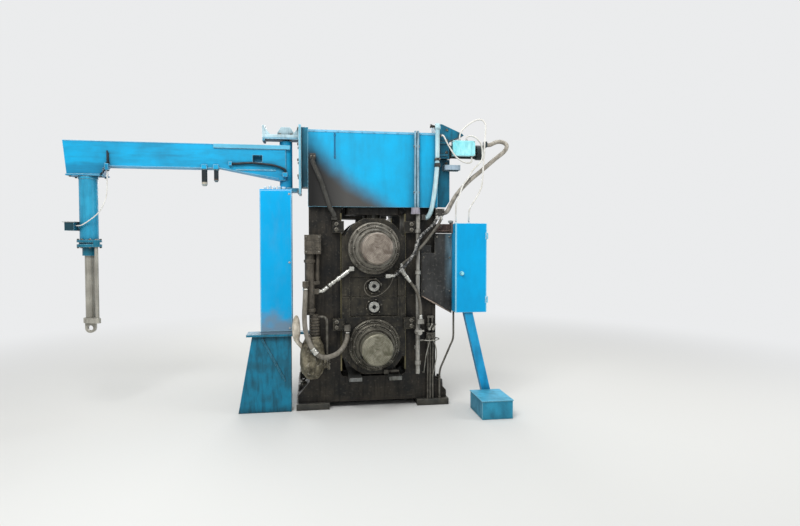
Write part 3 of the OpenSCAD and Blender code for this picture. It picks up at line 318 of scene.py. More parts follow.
# ---- Window liners and keeper plates: bronze wear plates screwed into the windows, and the
# steel keepers that hold the front chocks in. Both are greasy, with rubbed faces.
# Bronze: dull yellow-brown where the chocks rub it, nearly black where grease lies.
worn_bronze = weathered(
    "worn bronze liner", "#8a8263 #6b6650 #2a2820 #c4b98a", patch=120, run=(20, 260), grime=0.7,
    rough=(0.3, 0.5), relief=0.25, edge_wear_and_highlight=0.5, metallic=0.7)
# Chock iron: black and wet with oil, its cast grain and rubbed edges catching the light.
chock_iron = weathered(
    "oily chock casting", "#151513 #3b372d #070706 #8f897a", patch=120, run=(26, 170), grime=0.75,
    rough=(0.28, 0.56), grain=3.5, relief=0.45, scuff=0.3)
front = (0, -1, 0)
finish(worn_bronze, "window_liners")
finish(chock_iron, "keeper_plates", "top_backup_chocks", "bottom_backup_chocks", "top_work_chocks",
       "bottom_work_chocks")
keeper_spots = [(x, -0.7315, z + rise) for x in (-0.362, 0.362) for z in (1.7013, 0.7687)
                for rise in (0.028, 0.082)]
fasten("keeper_bolts", "stand", facing(front, *keeper_spots), 0.03, 0.02, oiled_bolt, 3)


def circle(centre, radius, count, out=front, start=0.0, axes=(0, 2)):
    """Places for bolts evenly round a circle in the plane of two axes."""
    places = []
    for i in range(count):
        turn = math.tau * (i + start) / count
        point = list(centre)
        point[axes[0]] += radius * math.cos(turn)
        point[axes[1]] += radius * math.sin(turn)
        places.append((tuple(point), out))
    return places


# Thin turned rings that hold the work rolls' bearings in their chocks, with small screws.
work_axes = {"top": 1.186, "bottom": 0.984}
carriers = {"top": "top_set", "bottom": "stand"}
for label, z in work_axes.items():
    holder = bmesh.new()
    lathe(holder, (0, -0.684, z), front, [
        (0, 0.081), (0.008, 0.081), (0.01, 0.079), (0.01, 0.067), (0.008, 0.065), (0, 0.065)],
        48, hollow=True)
    settle(label + "_bearing_ring", carriers[label], holder, chock_iron)
    fasten(label + "_ring_screws", carriers[label],
           circle((0, -0.6945, z), 0.073, 6, start=0.25), 0.01, 0.006, oiled_bolt, 6)

# ---- Chock rails, gap cylinders and plungers: milled and ground steel, wiped by the chocks
# and by their seals, so it stays brighter than the castings and the cylinders' oily bodies.
# Machined steel: mid grey with a metal shine, streaked downwards by oil.
machined_steel = weathered(
    "machined steel", "#7d7f7e #66665f #26241f #b9bab6", patch=90, run=(16, 120),
    rough=(0.28, 0.5), grain=1.5, relief=0.12, edge_wear_and_highlight=0.5, metallic=0.85)
finish(machined_steel, "chock_rails", "gap_plungers", "entry_table", "exit_table", "spray_headers")
finish(oily_casting, "gap_cylinders")


# ---- End caps: covers turned from steel, bolted over the chock bearings, with a long nose
# in front. The tool left fine rings; the noses are wiped bare, and the steps are dark with grease and
# painted shade.
def turned_steel(name, centre_z, nose, steps, grime):
    """Turned steel with tool rings about a line along the rolls, paler on the nose. nose is
    two tones, steps two tones and the colour of the dirt and the painted shade."""
    nose_from = -0.862
    cloud_mm = 90
    # The tool rings are coarser than the real feed, so that they show.
    ring_mm = 7
    material = weathered(
        name, steps + " #a8a397", patch=110, run=(40, 60), grime=grime, rough=(0.3, 0.52),
        relief=0.3, edge_mm=5, crevice_shade=0.75, metallic=0.55)
    tree = material.node_tree
    shader = tree.nodes["Principled BSDF"]
    place = tree.nodes["Texture Coordinate"].outputs["Object"]
    depth = add(tree, "SeparateXYZ", {0: place}).outputs["Y"]
    beyond = add(tree, "MapRange", {
        "Value": depth, "From Min": nose_from, "From Max": nose_from - 0.01})
    centred = add(tree, "Mapping", {"Vector": place, "Location": (0, 0, -centre_z)})
    cloud = add(tree, "TexNoise", {
        "Vector": centred, "Scale": 1000 / cloud_mm, "Detail": 6.0, "Roughness": 0.65,
        "Distortion": 0.6})
    wiped = add(tree, "MapRange", {"Value": cloud, "From Min": 0.4, "From Max": 0.62})
    clean, stained = [linear(colour) for colour in nose.split()]
    bare = add(tree, "Mix", {0: wiped, 6: clean, 7: stained}, data_type="RGBA")
    tool = add(tree, "TexWave", {
        "Vector": centred, "Scale": 1000 / ring_mm / 6.28, "Distortion": 0.8, "Detail": 2.0,
        "Detail Scale": 3.0}, wave_type="RINGS", rings_direction="Y")
    ringed = add(tree, "Mix", {0: 0.22, 6: bare, 7: tool.outputs["Color"]}, data_type="RGBA",
                 blend_type="OVERLAY")
    worn = shader.inputs["Base Color"].links[0].from_socket
    both = add(tree, "Mix", {0: beyond, 6: worn, 7: ringed}, data_type="RGBA")
    tree.links.new(both.outputs[2], shader.inputs["Base Color"])
    scored = add(tree, "Bump", {
        "Strength": 0.35, "Distance": 0.001, "Height": tool.outputs["Fac"],
        "Normal": tree.nodes["Bump"]})
    tree.links.new(scored.outputs[0], shader.inputs["Normal"])
    return material


backup_axes = {"top": 1.5513, "bottom": 0.6187}
# Top caps: warm grey-brown noses wiped nearly bare, with grease and painted shade in the steps behind
# them.
finish(turned_steel("turned cap steel, wiped", backup_axes["top"], "#978e83 #6b6158",
                    "#8a867c #524e46 #1a1815", 0.55), "top_end_caps")
# Bottom caps: the same steel lower down, olive and darker.
finish(turned_steel("turned cap steel, darker", backup_axes["bottom"], "#8b8879 #5d5b4c",
                    "#605d53 #36342d #141310", 0.65), "bottom_end_caps")
for label, z in backup_axes.items():
    cap_places = circle((0, -0.736, z), 0.233, 12, start=0.5)
    cap_places += circle((0, -0.804, z), 0.2, 8)
    cap_places += circle((0, 0.736, z), 0.235, 12, (0, 1, 0), 0.5)
    fasten(label + "_cap_bolts", carriers[label], cap_places, 0.02, 0.012, oiled_bolt, 5)

# ---- Rolls: forged steel, ground bright on their barrels and oiled on their necks. The
# finish is cool grey with fine marks round the roll and a thin film of rolling oil.
# Ground steel: mirror-like but softened by oil, so it shows the room as broad pale bands.
ground_roll = weathered(
    "ground roll steel", "#a3a6a6 #8e9191 #4c4943 #d0d2d0", patch=200, run=(4, 4), grime=0.25,
    rough=(0.16, 0.34), grain=0.8, relief=0.06, edge_wear_and_highlight=0.5, crevice_shade=0.5, metallic=1.0)
finish(ground_roll, "top_backup_roll", "bottom_backup_roll", "top_work_roll", "bottom_work_roll")
# Ring nuts on the work rolls' front ends: bright steel, with four spanner slots at the hole.
# Wiped steel: the palest metal on the front, so the nuts read as two light rings.
bright_nut = weathered(
    "wiped bright steel", "#b2b2ac #8f8e87 #2b2925 #ecece8", patch=30, run=(10, 14), grime=0.35,
    rough=(0.26, 0.42), grain=1, relief=0.1, edge_wear_and_highlight=0.9, edge_mm=1.5, metallic=0.35)
for label, z in work_axes.items():
    nut = bmesh.new()
    steps = 48
    rows = []
    for y, shrink in ((-0.7115, 0.0), (-0.7175, 0.0), (-0.719, 0.0015)):
        outer = []
        inner = []
        for k in range(steps):
            turn = math.tau * k / steps
            hole = 0.034 if k % 12 in (0, 1, 2) else 0.021
            for edge, radius in ((outer, 0.05 - shrink), (inner, hole + shrink)):
                edge.append(nut.verts.new((radius * math.cos(turn), y, z + radius * math.sin(turn))))
        rows.append((outer, inner))
    for k in range(steps):
        n = (k + 1) % steps
        for (low_out, low_in), (high_out, high_in) in zip(rows, rows[1:]):
            nut.faces.new((low_out[k], low_out[n], high_out[n], high_out[k]))
            nut.faces.new((low_in[k], high_in[k], high_in[n], low_in[n]))
        for outer, inner in (rows[0], rows[-1]):
            nut.faces.new((outer[k], inner[k], inner[n], outer[n]))
    settle(label + "_ring_nut", label + "_work", nut, bright_nut)


# ---- Hood: a box of folded sheet on the front housing, sprayed bright blue over primer.
# Oil smoke has greyed its lower left in a broad curve, and its edges are pale, partly rubbed and partly
# painted highlights.
def hood_smoke(tree, place):
    """Smoke film on the hood: sooty at the left edge, grey dust further in, ending along a
    curve over the lower left."""
    axes = add(tree, "SeparateXYZ", {0: place}).outputs
    lower = add(tree, "MapRange", {"Value": axes["Z"], "From Min": 2.66, "From Max": 1.947})
    bent = add(tree, "Math", {0: lower, 1: 1.6}, operation="POWER")
    reach = add(tree, "Math", {0: bent, 1: 0.78, 2: -0.66}, operation="MULTIPLY_ADD")
    ragged = add(tree, "TexNoise", {"Vector": place, "Scale": 4.0, "Detail": 5.0})
    shifted = add(tree, "Math", {0: ragged, 1: 0.2, 2: -0.1}, operation="MULTIPLY_ADD")
    edge = add(tree, "Math", {0: reach, 1: shifted}, operation="ADD")
    past = add(tree, "Math", {0: axes["X"], 1: edge}, operation="SUBTRACT")
    deep = add(tree, "MapRange", {"Value": past, "From Min": 0.25, "From Max": -0.17, "To Max": 1.0},
               interpolation_type="SMOOTHSTEP")
    face = add(tree, "MapRange", {"Value": axes["Y"], "From Min": -0.69, "From Max": -0.7})
    seen = add(tree, "Math", {0: deep, 1: face}, operation="MULTIPLY")
    further = add(tree, "MapRange", {"Value": axes["X"], "From Min": -0.58, "From Max": -0.26})
    smoke = add(tree, "Mix", {0: further, 6: linear("#0b0b0a"), 7: linear("#4a4947")},
                data_type="RGBA")
    return seen, smoke


sprayed = dict(patch=420, run=(60, 380), grime=0.16, rough=(0.34, 0.52), grain=1.5, relief=0.08,
               soil=hood_smoke)
# Hood enamel: bright even blue with pale edges, partly rubbed and partly painted highlights, going to
# soot at the lower left.
hood_enamel = weathered(
    "bright blue enamel, smoked", "#0db0e4 #18a0cf #2b2a27 #9ddaf2", edge_wear_and_highlight=1.1, edge_mm=6,
    crevice_shade=0.55, zones=[("#22748c", ("Y", -0.69, -0.68))], **sprayed)
finish(hood_enamel, "front_hood")
# Flange enamel: the hood's paint, with a pale painted highlight on the flange and darker on the strap,
# a painted shadow line.
flange_enamel = weathered(
    "blue enamel, painted highlight and shadow", "#0a6c99 #0a6088 #2b2a27 #9ddaf2", edge_wear_and_highlight=0.4, edge_mm=1, crevice_shade=0.3,
    zones=[("#7cc6ea", ("Z", 2.642, 2.646))], **sprayed)


def bars(name, body, corners, material, edge=0.001):
    """Flat bars and plates with broken edges, each given by its two opposite corners."""
    mesh = bmesh.new()
    for low, high in corners:
        size = [abs(b - a) for a, b in zip(low, high)]
        made = bmesh.ops.create_cube(mesh, size=1.0)["verts"]
        bmesh.ops.scale(mesh, vec=size, verts=made)
        bmesh.ops.translate(mesh, vec=[(a + b) / 2 for a, b in zip(low, high)], verts=made)
    bmesh.ops.bevel(
        mesh, geom=mesh.edges[:], offset=edge, segments=2, profile=0.6, affect="EDGES")
    return settle(name, body, mesh, material)


# Folded flange along the hood's top, a short strap at its upper left, and the screws in both.
bars("hood_flange", "stand",
     [((-0.624, -0.7085, 2.648), (0.6, -0.7045, 2.669)),
      ((-0.378, -0.708, 2.4), (-0.365, -0.7045, 2.644))], flange_enamel)
flange_spots = [(-0.57 + 0.114 * i, -0.7085, 2.658) for i in range(10)]
fasten("hood_bolts", "stand",
       facing(front, *flange_spots, (-0.3715, -0.708, 2.42), (-0.3715, -0.708, 2.625)),
       0.013, 0.006, flange_enamel, 7)

# ---- Screw gear: the gear case, its motor and the terminal box on top of the right post,
# welded and cast iron, in teal and cyan enamel under years of dust and oil.
old_enamel = dict(tones="#137a9a #1c6178 #171b1b #8fb6be", patch=160, run=(35, 240),
                  rough=(0.36, 0.6), edge_wear_and_highlight=0.7, edge_mm=4, crevice_shade=0.8)
# Teal enamel: dull blue-green, streaked dark, with chipped grey-green edges.
teal_enamel = weathered("dull teal enamel", grime=0.55, **old_enamel)
# Cyan enamel: very pale and clean, the lightest thing at the stand's right shoulder.
cyan_enamel = weathered(
    "cyan enamel", "#a9edf2 #7cdbe4 #3a707a #e4fbfb", patch=120, run=(30, 120), grime=0.35,
    rough=(0.28, 0.45), grain=1.5, relief=0.08, edge_wear_and_highlight=0.9, crevice_shade=0.6)
# Motor paint: nearly black, so the motor drops back behind its pale box.
motor_paint = weathered(
    "dark motor paint", "#2a383d #323635 #121312 #7e8a8c", patch=60, run=(20, 60), relief=0.25,
    edge_wear_and_highlight=0.7, edge_mm=2)
# Motor bracket enamel: the same teal, with its arm in a pale grey blue.
arm_enamel = weathered(
    "dull teal enamel, pale arm", grime=0.5, **old_enamel, zones=[
        ("#a9bdcc", ("X", 0.7, 0.705), ("Z", 2.32, 2.324), ("Z", 2.38, 2.376), ("Y", -0.545, -0.565))])
finish(teal_enamel, "gear_case", "enclosure_pedestal")
finish(arm_enamel, "motor_bracket")
finish(cyan_enamel, "motor_terminal_box")
finish(motor_paint, "gap_motor")


def welds(name, body, lines, material):
    """Weld beads along straight lines, with ripples 9 mm apart."""
    bead = 0.0045
    mesh = bmesh.new()
    for a, b in lines:
        run = Vector(b) - Vector(a)
        count = max(4, round(run.length / bead))
        ripples = [(run.length * i / count, bead * (1.0, 0.82)[i % 2]) for i in range(1, count)]
        lathe(mesh, a, run, [(0, bead * 0.4)] + ripples + [(run.length, bead * 0.4)], 8)
    return settle(name, body, mesh, material)


down = (0, 0, -1)
right = (1, 0, 0)
# Bolts of the motor's flange, the bracket's gusset and the gear case's cover, and the beads
# that join the gusset to the post and the cover to its case.
gear_places = circle((0.7845, -0.52, 2.52), 0.063, 6, right, 0.5, (1, 2))
gear_places += facing(front, *[(x, -0.6205, z) for x in (0.645, 0.735) for z in (2.5, 2.62, 2.72)])
gear_places += facing(front, *[(0.65, -0.5605, z) for z in (2.0, 2.2, 2.4)], (0.745, -0.5605, 2.4))
fasten("gear_bolts", "stand", gear_places, 0.018, 0.011, oiled_bolt, 8)
welds("gear_welds", "stand",
      [((0.6225, -0.562, 1.965), (0.6225, -0.562, 2.43)),
       ((0.705, -0.564, 2.3235), (0.865, -0.564, 2.3235)),
       ((0.64, -0.6215, 2.7725), (0.69, -0.6215, 2.7725))], teal_enamel)
# A thin face plate closes the front of the bracket's open arm.
bars("arm_face", "stand", [((0.711, -0.643, 2.3262), (0.869, -0.6398, 2.3738))],
     arm_enamel)
# Nylon: light grey and slightly waxy, the terminal box's small plastic fittings.
nylon = weathered(
    "grey nylon", "#b9bcba #9da19f #45443f #dfe2e0", patch=20, run=(6, 12), grime=0.4,
    rough=(0.4, 0.55), grain=0.8, relief=0.05, edge_wear_and_highlight=0.6, edge_mm=1)
glands = bmesh.new()
for point, along in (((0.93, -0.645, 2.6095), up), ((0.86, -0.645, 2.6095), up),
                     ((0.985, -0.64, 2.4705), down)):
    lathe(glands, point, along, [(0, 0.0165), (0.009, 0.0165), (0.0105, 0.015)], 6)
    lathe(glands, point, along, [(0.009, 0.0125), (0.015, 0.0115), (0.019, 0.0085)], 16)
settle("terminal_glands", "stand", glands, nylon)
lid_spots = [(x, -0.6652, z) for x in (0.797, 1.005) for z in (2.475, 2.605)]
fasten("terminal_screws", "stand", facing(front, *lid_spots), 0.009, 0.004, bright_nut,
       9)

# ---- Jib: a swinging box beam of welded plate on a pinned hub, with the lifting cylinder at
# its end. Sky-blue brushed enamel, pale along the welded edges, partly worn and partly painted
# highlights, and streaked with oil.
# Jib enamel: strong sky blue, pale along the lip. The two small cylinders that hang
# under the beam are charcoal above, brown and light grey at their ends.
jib_enamel = weathered(
    "sky-blue enamel", "#0ea6d8 #1792be #1c3c48 #a5d5e6", patch=300, run=(300, 40), grime=0.28,
    rough=(0.36, 0.54), grain=1.8, relief=0.1, edge_wear_and_highlight=1.0, edge_mm=6, crevice_shade=0.6, zones=[
        ("#22282a", ("Z", 2.3, 2.298), ("X", -1.7, -1.69), ("X", -1.44, -1.45)),
        ("#b9b3a4", ("Z", 2.178, 2.172), ("X", -1.7, -1.69), ("X", -1.5, -1.51)),
        ("#5a4a40", ("Z", 2.21, 2.2), ("X", -1.52, -1.51), ("X", -1.44, -1.45)),
        ("#1787b2", ("X", -2.36, -2.42), ("Z", 2.34, 2.31)),
        ("#63b9d8", ("X", -1.502, -1.4985), ("Z", 2.4985, 2.5015), ("Y", -0.5445, -0.5465))])
# Cylinder enamel: paler than the beam's, with a teal flange, gland and switch housing.
cylinder_enamel = weathered(
    "pale sky-blue enamel", "#2f9fc4 #278db2 #1d4350 #a5d5e6", patch=160, run=(30, 300), grime=0.35,
    rough=(0.32, 0.5), grain=1.8, relief=0.1, edge_mm=4, crevice_shade=0.6,
    zones=[("#1b7690", ("Z", 1.64, 1.634)), ("#1a3f4a", ("X", -2.715, -2.722))])
# Jib bracket enamel: the palest blue on the jib, with painted highlights on its top and edges beside
# the dark post, and a darker teal painted as shade where it meets the post.
bracket_enamel = weathered(
    "pale blue enamel", "#4fa6c6 #3990b4 #17323c #d9eef4", patch=120, run=(25, 160), grime=0.35,
    rough=(0.34, 0.52), grain=1.8, relief=0.12, edge_wear_and_highlight=1.1, edge_mm=5, crevice_shade=0.8, zones=[
        ("#bddae3", ("Z", 2.6, 2.62), ("X", -0.69, -0.7)), ("#217e9b", ("X", -0.694, -0.688)),
        ("#8cc9de", ("X", -0.716, -0.711), ("X", -0.688, -0.69))])
# Rod steel: warm grey and smooth, with oil drawn along it, so it reads as a light line.
rod_steel = weathered(
    "oiled rod steel", "#adaa9f #918e84 #56534a #d0cdc3", patch=160, run=(8, 300), grime=0.4,
    rough=(0.25, 0.4), grain=1, relief=0.05, edge_wear_and_highlight=0.5, metallic=0.35, gloss=0.5)
finish(jib_enamel, "jib_arm")
finish(cylinder_enamel, "lift_cylinder")
finish(bracket_enamel, "jib_bracket")
finish(rod_steel, "lift_rod")
# Beads along the beam's corners, its lip bar and end box, and the stiffener on its wedge.
welds("jib_welds", "jib",
      [((-2.46, -0.5445, 2.3115), (-1.487, -0.5445, 2.3115)),
       ((-2.815, -0.5445, 2.5345), (-1.51, -0.5445, 2.5345)),
       ((-2.46, -0.3955, 2.3115), (-1.487, -0.3955, 2.3115)),
       ((-2.815, -0.3955, 2.5345), (-1.51, -0.3955, 2.5345)),
       ((-2.78, -0.5445, 2.233), (-2.49, -0.5445, 2.233)),
       ((-1.49, -0.5455, 2.4985), (-0.87, -0.5455, 2.4985)),
       ((-1.48, -0.5455, 2.3185), (-0.9, -0.5455, 2.221))], jib_enamel)
bars("jib_stiffener", "jib", [((-1.3, -0.551, 2.292), (-0.93, -0.5435, 2.304))],
     bracket_enamel, 0.0015)
# Bolts: the cylinder's two flanges, except where the guide bar passes, and the end box's
# plate; then the bracket's wing plate and the caps of its pin.
guide_bar = (-2.555, -0.532)
jib_places = []
for (x, y, z), out in circle((-2.635, -0.47, 1.6305), 0.092, 8, up, 0.5, (0, 1)):
    if math.dist((x, y), guide_bar) > 0.045:
        jib_places += [((x, y, z), up), ((x, y, 1.5645), down)]
jib_places += facing(down, *[(x, y, 2.2175) for x in (-2.765, -2.505) for y in (-0.535, -0.405)])
fasten("jib_bolts", "jib", jib_places, 0.018, 0.011, oiled_bolt, 10)
wing_spots = [(-0.7125, y, z) for y in (-0.58, -0.36) for z in (2.1, 2.25, 2.4, 2.55, 2.7)]
pin_spots = [(x, y, 2.6405) for x in (-0.89, -0.78) for y in (-0.545, -0.395)]
fasten("bracket_bolts", "stand", facing((-1, 0, 0), *wing_spots) + facing(up, *pin_spots),
       0.022, 0.013, oiled_bolt, 11)
welds("bracket_welds", "stand",
      [((-1.05, -0.562, 2.599), (-0.714, -0.562, 2.599)),
       ((-0.7135, -0.535, 2.094), (-0.7135, -0.405, 2.094)),
       ((-0.687, -0.531, 2.15), (-0.687, -0.531, 2.72))], bracket_enamel)


# ---- Enclosures: folded sheet boxes for the terminals, powder-coated a deep bright blue. The
# tall one is smoked at its foot; both are pale along their edges, partly rubbed and partly painted
# highlights.
def foot_smoke(tree, place):
    """Smoke and splashed oil on the lowest part of the tall enclosure."""
    height = add(tree, "SeparateXYZ", {0: place}).outputs["Z"]
    ragged = add(tree, "TexNoise", {"Vector": place, "Scale": 5.0, "Detail": 5.0})
    lifted = add(tree, "Math", {0: ragged, 1: 0.5, 2: 0.72}, operation="MULTIPLY_ADD")
    above = add(tree, "Math", {0: height, 1: lifted}, operation="SUBTRACT")
    low = add(tree, "MapRange", {
        "Value": above, "From Min": 0.06, "From Max": -0.14, "To Max": 0.75},
        interpolation_type="SMOOTHSTEP")
    return low, linear("#7b8085")


coated = dict(patch=500, run=(80, 300), rough=(0.34, 0.5), grain=1.2, relief=0.06, gloss=0.15)
# Box enamel: the brightest, flattest blue on the stand, with its folded edges nearly white and pale
# strips down its front corners, painted highlights.
box_enamel = weathered(
    "bright blue powder coat", "#00a7e1 #049dd6 #1c5265 #b6e8fa", grime=0.12, edge_wear_and_highlight=1.4, edge_mm=7,
    crevice_shade=0.5, zones=[("#86d3f0", ("X", 0.784, 0.78), ("Y", -0.84, -0.846)),
                       ("#86d3f0", ("X", 1.07, 1.074), ("Y", -0.84, -0.846))], **coated)
# Tall enamel: the same coat, clean above and grey with smoke at its foot, pale on its lid.
tall_enamel = weathered(
    "bright blue powder coat, smoked", "#00a8e3 #049dd6 #7b8085 #b6e8fa", grime=0.1, edge_wear_and_highlight=1.3,
    edge_mm=6, crevice_shade=0.35, soil=foot_smoke, zones=[("#c9d9df", ("Z", 2.1055, 2.107))], **coated)
finish(box_enamel, "junction_box", "junction_door")
finish(tall_enamel, "tall_enclosure")
# Leg enamel: brushed on, a little darker than the boxes, with oil run down it.
leg_enamel = weathered(
    "blue leg enamel", "#1a9ed2 #1686b6 #123440 #7cc4e2", patch=200, run=(30, 300), grime=0.3,
    rough=(0.34, 0.52), grain=1.8, relief=0.1, crevice_shade=0.6)
finish(leg_enamel, "prop_leg")
# Foot block enamel: its lid paler than its sides.
foot_enamel = weathered(
    "blue enamel, paler lid", "#2f93b3 #277d9b #1b4654 #9ad0de", patch=120, run=(60, 90), grime=0.35,
    edge_wear_and_highlight=1.0, edge_mm=6, crevice_shade=0.6, zones=[("#4cb0d2", ("Z", 0.168, 0.171))])
finish(foot_enamel, "foot_block")
# The diagonal stiffener on the pedestal's front, then the screws, latch and glands of the
# boxes.
slant = bmesh.new()
lathe(slant, (-1.06, -0.699, 0.705), (0.22, 0, -0.42), [(0, 0.011), (0.46, 0.011)], 4)
settle("pedestal_stiffener", "stand", slant, teal_enamel)
fasten("enclosure_screws", "stand",
       facing(front, *[(-0.7985, -0.7203, z) for z in (0.8, 1.42, 2.06)]), 0.014, 0.006, bright_nut, 12)
fasten("hinge_screws", "box_door",
       facing(front, *[(1.0755, -0.8547, z) for z in (1.043, 1.067, 1.658, 1.682)]), 0.007, 0.003,
       bright_nut, 13)
# The latch is in pale cyan enamel, a painted highlight on a knob that is blue.
latch = bmesh.new()
lathe(latch, (0.832, -0.8502, 1.31), front, [(0, 0.021), (0.003, 0.021), (0.0045, 0.019)], 20)
lathe(latch, (0.832, -0.8755, 1.31), front, [(0, 0.0145), (0.004, 0.0145), (0.006, 0.012)], 20)
settle("door_latch", "box_door", latch, cyan_enamel)
# Gland plastic on the boxes: clean and nearly white, so the cable entries stand out.
pale_gland = weathered(
    "pale gland plastic", "#e2eef0 #cddde1 #9aa6a9 #f5fbfb", patch=30, run=(8, 14), grime=0.15,
    rough=(0.4, 0.55), grain=0.8, relief=0.04, edge_wear_and_highlight=0.4, edge_mm=1, crevice_shade=0.15)
box_glands = bmesh.new()
for point in ((0.802, -0.73, 1.79), (0.924, -0.76, 1.79)):
    lathe(box_glands, point, up, [(0, 0.0175), (0.008, 0.0175), (0.0095, 0.016)], 6)
    lathe(box_glands, point, up, [(0.008, 0.0125), (0.0148, 0.0115)], 16)
for i in range(5):
    lathe(box_glands, (-1.02 + 0.042 * i, -0.6425, 2.12 + 0.008 * (i % 2)), up,
          [(0, 0.0165), (0.01, 0.0165), (0.0125, 0.0145)], 6)
settle("box_glands", "stand", box_glands, pale_gland)

# ---- Shelf, guard, actuator and pipes: small steel parts on the front housing. Grey paint
# rubbed to metal, light castings stained by oil, and pipes in dusty grey paint.
# Guard paint: scuffed charcoal that goes over to pale blue towards its upper right.
guard_paint = weathered(
    "worn grey paint", "#3c3c3b #282827 #131210 #a5a197", patch=200, run=(40, 260),
    rough=(0.4, 0.62), edge_wear_and_highlight=0.7, crevice_shade=0.6, scuff=0.2,
    zones=[("#8fb6c6", ("X", 0.69, 0.79), ("Z", 1.05, 1.4))])
# Shelf paint: red-brown primer that has rusted through a thin grey coat.
shelf_paint = weathered(
    "rusty red-brown primer", "#8b726b #54443f #1b1714 #b9a79a", patch=70, run=(20, 90),
    rough=(0.45, 0.65), relief=0.2, edge_wear_and_highlight=0.9, scuff=0.3)
# Actuator paint: brown-grey and greasy, so its body and brackets melt into the post.
actuator_paint = weathered(
    "oily brown-grey paint", "#5d574d #38342d #110f0d #a39c8d", patch=70, run=(20, 120),
    rough=(0.36, 0.58), relief=0.25, edge_wear_and_highlight=0.7, edge_mm=2)
# Stained alloy: a light casting under brown oil, mottled and rough, with bright ribs that are partly
# painted highlights.
stained_alloy = weathered(
    "stained light casting", "#857e6a #443f31 #14120e #ddd6c6", patch=75, run=(38, 120), grime=0.9,
    rough=(0.42, 0.62), grain=4, relief=0.45, crevice_shade=0.85, scuff=0.35)
worn_pipe = dict(edge_wear_and_highlight=0.6, edge_mm=2, relief=0.12)
# Pipe paint: dusty warm grey, with a cooler grey block and a pale blue cap at its top.
pipe_paint = weathered(
    "dusty grey pipe paint", "#a2a099 #7d7b74 #1a1815 #bdb9ae", patch=60, run=(12, 160), scuff=0.2,
    zones=[("#9f9aa4", ("Z", 1.878, 1.882)), ("#8fb4c6", ("Z", 1.941, 1.944))], **worn_pipe)
# Line paint: darker and greasier than the risers, as the lines lie lower down.
line_paint = weathered("grey line pipe", "#6a675f #4b4841 #161411 #aaa698", patch=50, run=(12, 120),
                       grime=0.65, scuff=0.25, **worn_pipe)
finish(guard_paint, "side_guard")
finish(shelf_paint, "box_shelf")
finish(actuator_paint, "left_actuator")
finish(stained_alloy, "actuator_casting")
finish(pipe_paint, "riser_pipes")
finish(line_paint, "lower_pipes")
# Zinc plating: bright and cool, dark in its grooves with oil and painted shade, so each fitting glints.
zinc_fitting = weathered(
    "zinc-plated steel", "#d5d4cd #a9a8a0 #3a3833 #f0efe8", patch=25, run=(8, 14), grime=0.45,
    rough=(0.22, 0.4), grain=1, relief=0.1, edge_wear_and_highlight=0.9, edge_mm=1.5, metallic=0.75)
finish(zinc_fitting, "chock_fittings")
# Bolts of the guard, the actuator's head and brackets, the shelf and the casting's flange.
side_spots = [(x, -0.7155, z) for x in (0.487, 0.745) for z in (1.13, 1.46)]
side_spots += [(x, -0.7155, 1.66) for x in (0.617, 0.745)]
side_spots += [(x, -0.8303, z) for x in (-0.643, -0.525) for z in (1.52, 1.658)]
side_spots += [(0.672, -0.652, z) for z in (1.722, 1.768, 1.025)]
casting_places = circle((-0.4315, -0.76, 0.47), 0.054, 6, right, axes=(1, 2))
fasten("side_bolts", "stand", facing(front, *side_spots) + casting_places, 0.013, 0.008,
       oiled_bolt, 14)
# The rolled lip along the guard's slanted lower edge, rubbed to bare pale primer.
lip_paint = weathered(
    "rubbed pale primer", "#a8988a #85766b #2a2420 #d8cdbf", patch=60, run=(14, 60), grime=0.45,
    edge_wear_and_highlight=0.9, edge_mm=2, scuff=0.3)
lip = bmesh.new()
lathe(lip, (0.464, -0.7145, 1.086), (0.3, 0, -0.1679), [(0, 0.007), (0.3425, 0.007)], 10)
settle("guard_lip", "stand", lip, lip_paint)
# The small pale cable union that lies on the shelf's end bracket: collar, nut and tail.
union = bmesh.new()
for x, profile, sides in (
        (0.733, [(0, 0.009), (0.002, 0.0105), (0.014, 0.0105)], 16),
        (0.746, [(0, 0.0135), (0.001, 0.0145), (0.021, 0.0145), (0.022, 0.0135)], 6),
        (0.767, [(0, 0.0105), (0.012, 0.0105), (0.016, 0.0085)], 16)):
    lathe(union, (x, -0.7, 1.8115), right, profile, sides)
settle("shelf_union", "stand", union, nylon)
# The casting's upper neck, a bent stub that swells to a closed egg-shaped boss, beside the
# large hose. Bare alloy, paler than the body, with oil and painted shade in its hollows.
boss_alloy = weathered(
    "pale bare casting", "#d6cebf #a99f8d #2a251f #f1ebde", patch=60, run=(24, 90), grime=0.4,
    rough=(0.42, 0.6), grain=4, relief=0.35, crevice_shade=0.8, scuff=0.3)
neck_line = ((-0.655, -0.76, 0.6), (-0.692, -0.766, 0.638), (-0.722, -0.772, 0.672),
             (-0.736, -0.776, 0.7), (-0.739, -0.778, 0.74), (-0.74, -0.778, 0.79),
             (-0.74, -0.778, 0.84), (-0.739, -0.778, 0.885), (-0.738, -0.778, 0.915),
             (-0.738, -0.778, 0.928))
neck_radii = (0.03, 0.023, 0.021, 0.027, 0.036, 0.04, 0.037, 0.029, 0.018, 0.006)
neck = bmesh.new()
side = Vector((0, 1, 0))
rows = []
for i, radius in enumerate(neck_radii):
    ahead = (Vector(neck_line[min(i + 1, 9)]) - Vector(neck_line[max(i - 1, 0)])).normalized()
    rows.append(ring(neck, Vector(neck_line[i]), side.cross(ahead).normalized(), side, radius, 20))
for low, high in zip(rows, rows[1:]):
    skin(neck, low, high, True)
neck.faces.new(rows[0])
neck.faces.new(rows[-1])
settle("casting_neck", "stand", neck, boss_alloy)


